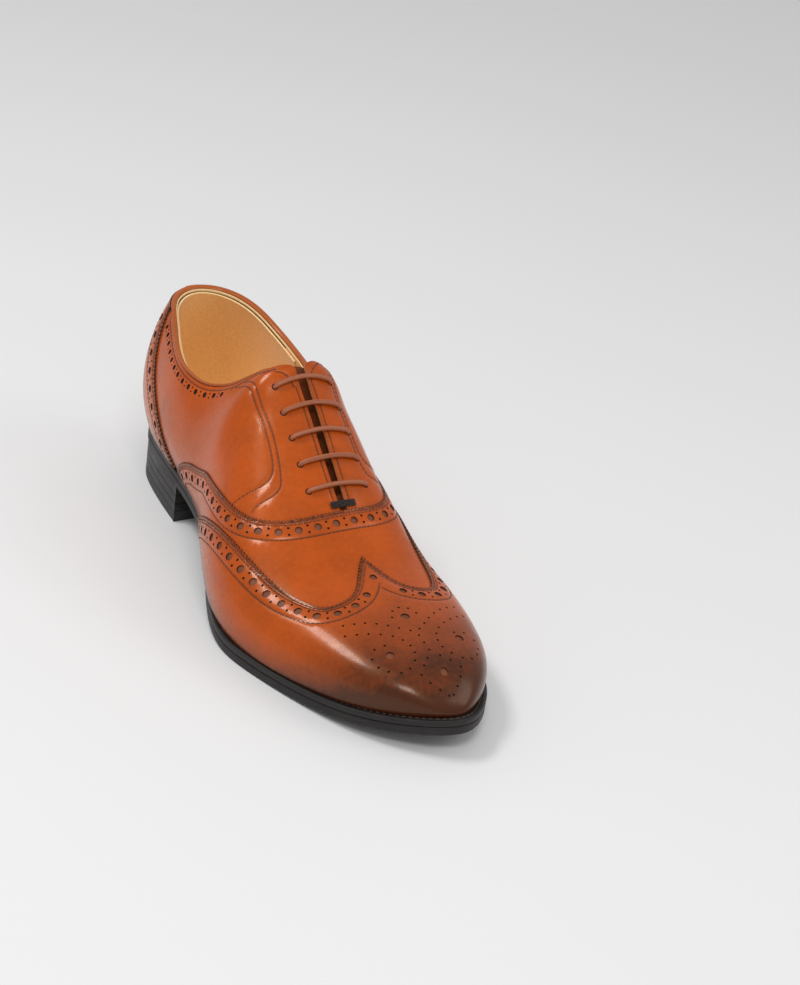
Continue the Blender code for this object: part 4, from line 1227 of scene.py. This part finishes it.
def make_foxing(finish, seams):
    for side, name in SIDES:
        front = foxing_path(side, np.linspace(0, 1, 120))
        out = rising(front, 0.95, 1.5, 8.0)
        inward = -side
        top_turn = np.linspace(FOXING_BACK_TURN, front[0, 0], 20)[1:-1]
        top = np.stack([top_turn, side * top_q(top_turn, side, TOPLINE_DROP)], -1)
        low = np.linspace(front[-1, 0], FOXING_BACK_TURN, 24)[1:]
        bottom = np.stack([low, np.full(len(low), side * LOW_Q)], -1)
        rear_top = float(top_q(np.array([FOXING_BACK_TURN]), side, TOPLINE_DROP)[0])
        rear = column(FOXING_BACK_TURN, side * np.linspace(LOW_Q, rear_top, 30)[1:])
        outline = np.vstack([pinked(front, inward), bottom, rear, top])
        rows, hole_row = beside_edge(front, inward)
        cut_leather(f"heel_foxing_{name}_leather", wound(outline), out,
                    leather_looks(finish, "dark_edge"),
                    brogue_row(hole_row), rows, shade=shading, slot="calf_tan",
                    replaces=[f"heel_foxing_{name}"])
        seams += [seam_places(row, out) for row in rows]


def make_back_strip(finish, seams):
    """The strip over the seam at the back of the heel, bowed across, with a seam on each side."""
    def down(turn, below, end, steps):
        side = 1 if turn < 0 else -1
        return column(turn, -np.linspace(float(top_q(turn, side, below)), end, steps))
    turns = np.linspace(-STRIP_HALF_TURN, STRIP_HALF_TURN, 9)
    grid = np.array([down(turn, TOPLINE_DROP, LOW_Q, 40) for turn in turns])
    bow = (1 - (turns / STRIP_HALF_TURN) ** 4)[:, None, None]
    normal = last_normal(grid[..., 0], grid[..., 1])
    base = on_last(grid, STRIP_BASE)
    grid_piece("back_strip_leather", base + normal * bow * STRIP_BOW, base, [finish["calf"]],
               slot="calf_tan", replaces=["back_strip"])
    for turn in (-STRIP_HALF_TURN * 0.6, STRIP_HALF_TURN * 0.6):
        seams.append(seam_places(down(turn, 2.5, 0.97, 60), level(2.32)))


# --- lining, binding and tongue -----------------------------------------------

def lining_grid(turns, side, below, layer, steps=34):
    """Outer and inner faces of a lining from the topline to the insole."""
    top = np.where(turns >= 0, top_q(turns, side, below, LINING_SET_BACK),
                   top_q(turns, -side, below, LINING_SET_BACK))[:, None]
    q = top + (1 - top) * np.linspace(0, 1, steps) ** 1.15
    grid = np.stack([np.broadcast_to(turns[:, None], q.shape), side * q], -1)
    return on_last(grid, layer[1]), on_last(grid, layer[0])


def make_lining(finish):
    for side, name in SIDES:
        turns = last_turn(np.r_[np.linspace(54, 112, 40), np.linspace(114, 172, 34)])
        grid_piece(f"quarter_lining_{name}_smooth", *lining_grid(turns, side, 1.0, (-3.6, -1.6)),
                   [finish["lining"], finish["cut_edge"]], slot="lining_leather",
                   replaces=[f"quarter_lining_{name}", f"eyelet_stay_{name}"])
    reach = turn_at(66)
    grid_piece("heel_lining_smooth", *lining_grid(np.linspace(-reach, reach, 71), -1, 1.0,
                                                  (-4.6, -3.7)),
               [finish["suede"], finish["cream"]], slot="lining_leather",
               replaces=["heel_lining", "heel_counter"])

    route, folded, ups = [], [], []
    for side, turns in ((-1, np.linspace(turn_at(BINDING_END_S), 0, 90)),
                        (1, np.linspace(0, turn_at(BINDING_END_S), 90)[1:])):
        w = side * top_q(turns, side)
        up = unit(last_point(turns, w - side * 0.005) - last_point(turns, w))
        route.append(over_last(turns, w, np.full(len(turns), -0.6)) + 0.1 * up)
        folded.append(over_last(turns, w, np.full(len(turns), -2.6)) - 0.7 * up)
        ups.append(last_normal(turns, w))
    route, folded, ups = np.vstack(route), np.vstack(folded), np.vstack(ups)
    taper = np.sin(np.clip(np.linspace(0, 1, len(route)) * 40, 0, math.pi / 2))
    taper = np.minimum(taper, taper[::-1])[:, None, None] * 0.55 + 0.45
    sweep("topline_binding_rolled", route, oval(0.8, 1.5, 14)[None] * taper, [finish["binding"]],
          steady=ups,
          slot="calf_brown", replaces=["topline_binding"])
    sweep("lining_fold", folded, oval(0.9, 0.55, 10)[None] * taper, [finish["cream"]], steady=ups,
          slot="lining_leather")

    make_sock(finish)


def make_sock(finish):
    """The sock liner: the last's outline, drawn in."""
    length = LAST_TIP - LAST_BACK
    span = length - 2 * SOCK_INSET
    loop = []
    for side, order in ((-1, 1), (1, -1)):
        turns = np.linspace(0, 1, 60)[::order]
        s = LAST_BACK + SOCK_INSET + span * (1 - np.cos(math.pi * turns)) / 2
        share = last_turn(LAST_BACK + (s - LAST_BACK - SOCK_INSET) * length / span)
        trim = SOCK_INSET * np.sqrt(np.clip(np.sin(math.pi * turns), 0, 1))
        loop.append(np.c_[feather_edge(share, side) - side * trim, s][1:])
    low, high = (height_over(rise) for rise in SOCK_LAYER)
    plate("sock_liner_shaped", np.vstack(loop), low, high, [finish["sock"]], 0.4,
          slot="sock_leather", replaces=["sock_liner"])


def make_tongue(finish):
    stations = np.linspace(TONGUE_TIP_S, TONGUE_FIXED_S, 40)
    half = np.interp(stations, (TONGUE_TIP_S, 128, 140, 177), (12.5, 16.5, 19.5, 22))
    grid = []
    for s, reach in zip(stations, half):
        turn = turn_at(s)
        left, right = (float(q_at_offset(turn, side, reach)) for side in (-1, 1))
        grid.append(column(turn, np.linspace(-left, right, 25)))
    grid = np.array(grid)
    # The tongue's finish is the upper's tan calf, darkened with painted shade for where it lies under the
    # facings.
    for name, (low, high), look, slot in (
            ("tongue", TONGUE_LAYER, finish["tongue"], "calf_brown"),
            ("tongue_lining", TONGUE_LINING_LAYER, finish["lining"], "lining_leather")):
        outer, inner = on_last(grid, high), on_last(grid, low)
        rise = np.linspace(2.6, 0.6, 5)[:, None, None]
        outer, inner = (np.vstack([face[0] + (face[0] - face[1])[None] * rise, face])
                        for face in (outer, inner))
        grid_piece(f"{name}_smooth", outer, inner, [look], body="tongue", slot=slot, replaces=[name])


# --- lacing -------------------------------------------------------------------

def over(s, side, offset, out):
    """A point over the last, a distance to one side of the crest."""
    turn = np.array([turn_at(s)])
    q = q_at_offset(turn, side, abs(offset))
    return over_last(turn, side * q, np.array([out]))[0]


def lace_route():
    """The lace from its lateral end to its medial end: straight bars over the facings, and
    runs under them that climb from one pair of eyelets to the next."""
    lateral_tail = [(-13, 228), (-17, 210), (-22, 188), (-26, 165), (-27, 145), (-26, 128)]
    route = [on_sock(x, s) for x, s in lateral_tail]
    route += [wall(-1, 0.88, 116), wall(-1, 0.78, 112), wall(-1, 0.66, 110), wall(-1, 0.52, 110)]
    route += [over(110, -1, 25, UNDER_OUT - 0.4), over(114, -1, 22.5, UNDER_OUT - 0.5)]
    route += [over(s, -1, 20.5, UNDER_OUT - 0.2) for s in (121, 131, 141, 151, 160)]
    route += [over(165.5, -1, 17.0, UNDER_OUT), over(167.5, -1, 15.2, UNDER_OUT + 0.3)]
    side = -1
    for number in range(len(EYELET_S) - 1, -1, -1):
        s = EYELET_S[number]
        if number < len(EYELET_S) - 1:
            route += [over(EYELET_S[number + 1] - 3, side, EYELET_OFFSET, UNDER_OUT),
                      over(s + 3, side, EYELET_OFFSET, UNDER_OUT),
                      over(s + 0.9, side, EYELET_OFFSET, UNDER_OUT + 0.4)]
        route += [over(s, side, EYELET_OFFSET, out) for out in (-3.8, -0.2)]
        route += [over(s, side, EYELET_OFFSET - 0.8, 1.15)]
        route += [over(s, side, offset, BAR_OUT) for offset in (11.6, 7.5, 3.5)]
        route += [over(s, -side, offset, BAR_OUT) for offset in (0, 3.5, 7.5, 11.6)]
        route += [over(s, -side, EYELET_OFFSET - 0.8, 1.15)]
        side = -side
        route += [over(s, side, EYELET_OFFSET, out) for out in (-0.2, -3.8)]
        if number:
            route += [over(s - 0.9, side, EYELET_OFFSET, UNDER_OUT + 0.4)]
    route += [over(121.8, 1, 15.2, UNDER_OUT + 0.3), over(119.8, 1, 17.0, UNDER_OUT - 0.1)]
    route += [over(115, 1, 21.5, UNDER_OUT - 0.4)]
    route += [wall(1, 0.56, 111), wall(1, 0.66, 110), wall(1, 0.78, 112), wall(1, 0.88, 116)]
    medial_tail = [(18, 128), (18, 145), (20, 165), (24, 188), (25, 210), (23, 228)]
    return route + [on_sock(x, s) for x, s in medial_tail]


def wall(side, q, s):
    """A point where the lace lies on the lining inside the shoe."""
    turn = np.array([turn_at(s)])
    return over_last(turn, np.array([side * q]), np.array([UNDER_OUT - 0.4]))[0]


def on_sock(x, s):
    return np.array([x, s, float(bottom_height(s)) + SOCK_LAYER[1] + GAP + LACE_RADIUS])


def smooth_route(points, steps=5):
    """A smooth curve through the points."""
    points = np.asarray(points, float)
    padded = np.vstack([2 * points[0] - points[1], points, 2 * points[-1] - points[-2]])
    share = np.linspace(0, 1, steps, endpoint=False)[:, None]
    curve = []
    for before, a, b, after in zip(padded, padded[1:], padded[2:], padded[3:]):
        curve.append(0.5 * (2 * a + (b - before) * share + (2 * before - 5 * a + 4 * b - after) * share ** 2
                            + (3 * a - before - 3 * b + after) * share ** 3))
    return np.vstack([*curve, points[-1:]])


def make_lacing(finish):
    sweep("shoelace_braided", smooth_route(lace_route()), oval(LACE_RADIUS, LACE_RADIUS, 12),
          [finish["lace"]], slot="waxed_lace", replaces=["shoelace"])
    centres, ahead, normals = [], [], []
    for s in np.linspace(TACK_START - 0.2, TACK_END + 0.2, 5):
        for offset in np.linspace(-5.2, 5.2, 7):
            side = -1 if offset < 0 else 1
            centre = over(s, side, offset, 1.0)
            centres.append(centre)
            ahead.append(unit(over(s, 1, 0.5, 1.0) - over(s, -1, 0.5, 1.0)))
            turn = np.array([turn_at(s)])
            normals.append(last_normal(turn, side * q_at_offset(turn, side, abs(offset)))[0])
    stitches([(np.array(centres), np.array(ahead), np.array(normals))], finish["tack"],
             "bar_tack_threads",
             2.6, 0.36, slot="black_thread", replaces=["bar_tack"])


def make_finishes():
    return {
        "calf": calf("calf_tan", TAN, TAN_DARK),
        "binding": calf("binding_calf", (0.42, 0.10, 0.018), (0.15, 0.035, 0.010), (0.3, 0.42)),
        # Tan calf made dark with painted shade: the tongue and vamp lining sit in shade under the facings.
        "tongue": calf("tongue_calf_painted_shade", (0.15, 0.04, 0.014), (0.06, 0.016, 0.007), (0.35, 0.5), 0.1),
        # Hole walls and the floors of small holes: dark backing leather, darkened further with painted
        # shade inside the holes.
        "hole": plain("punched_hole_dark_and_shaded", (0.045, 0.014, 0.007), (0.02, 0.008, 0.004), (0.6, 0.8)),
        # Floors of large holes: the tan backing leather, darkened with painted shade in the hole.
        "hole_floor": plain("hole_floor", (0.24, 0.06, 0.014), (0.13, 0.032, 0.009), (0.5, 0.7)),
        "cut_edge": plain("cut_edge", (0.62, 0.24, 0.09), (0.48, 0.16, 0.055), (0.5, 0.7), 900.0),
        # Pinked cut edges: dark burnished edge colour, darkened further with painted shade at the step
        # between pieces.
        "dark_edge": plain("pinked_edge", (0.10, 0.033, 0.014), (0.06, 0.02, 0.01), (0.45, 0.6), 900.0),
        "thread": plain("stitching_thread", (0.20, 0.06, 0.022), (0.08, 0.022, 0.009), (0.45, 0.6),
                        2500.0),
        "welt_thread": plain("welt_thread", (0.075, 0.05, 0.035), (0.03, 0.022, 0.018), (0.5, 0.65),
                             2500.0),
        "tack": plain("tack_thread", (0.02, 0.014, 0.012), (0.008, 0.007, 0.007), (0.45, 0.6), 2500.0),
        "lace": braid("waxed_lace", (0.52, 0.16, 0.065), (0.25, 0.065, 0.025)),
        "lining": plain("lining_leather", (0.98, 0.56, 0.17), (0.88, 0.47, 0.12), (0.45, 0.6), 500.0,
                        0.05),
        "suede": plain("heel_suede", (0.98, 0.56, 0.19), (0.86, 0.46, 0.13), (0.8, 0.95), 900.0, 0.12,
                       sheen=0.3),
        "cream": plain("lining_fold", (0.90, 0.66, 0.34), (0.80, 0.52, 0.24), (0.5, 0.65), 700.0),
        "sock": plain("sock_leather", (0.82, 0.66, 0.44), (0.74, 0.57, 0.35), (0.5, 0.65), 350.0),
        "sole_edge": plain("sole_edge", (0.020, 0.016, 0.015), (0.010, 0.008, 0.008), (0.42, 0.55),
                           160.0, 0.05, (1.0, 1.0, 6.0), specular=0.35),
        "stack": plain("heel_stack", (0.020, 0.017, 0.016), (0.010, 0.008, 0.008), (0.38, 0.5),
                       160.0, 0.05, (1.0, 1.0, 9.0), specular=0.4),
        "rubber": plain("heel_rubber", (0.025, 0.025, 0.026), (0.016, 0.016, 0.017), (0.5, 0.65),
                        900.0),
        "steel": plain("nail_steel", (0.55, 0.54, 0.52), (0.42, 0.41, 0.40), (0.3, 0.45), 1200.0,
                       metallic=1.0),
        "cork": plain("cork_filler", (0.42, 0.26, 0.13), (0.25, 0.14, 0.07), (0.85, 0.95), 700.0, 0.2),
        "board": plain("insole_leather", (0.55, 0.38, 0.22), (0.45, 0.30, 0.16), (0.7, 0.85), 400.0),
        "film": plain("aglet_film", (0.10, 0.04, 0.02), (0.07, 0.03, 0.015), (0.2, 0.3), 300.0,
                      coat=0.5),
    }


def main():
    make_camera()
    make_stage()
    finish = make_finishes()
    seams = []
    make_sole(finish)
    make_quarters(finish, seams)
    make_vamp(finish, seams)
    make_wing(finish, seams)
    make_foxing(finish, seams)
    make_back_strip(finish, seams)
    stitches(seams, finish["thread"], "upper_stitches", slot="calf_tan")
    make_lining(finish)
    make_tongue(finish)
    make_lacing(finish)
    # The vamp lining wears the tongue's dark calf: painted shade inside the forepart, not the lining's own
    # colour.
    carried = {"cork_filler": "cork", "shank": "steel", "insole": "board", "vamp_lining": "tongue",
               "aglet_1": "film", "aglet_2": "film"}
    for node, look in carried.items():
        dress(node, finish[look])


main()
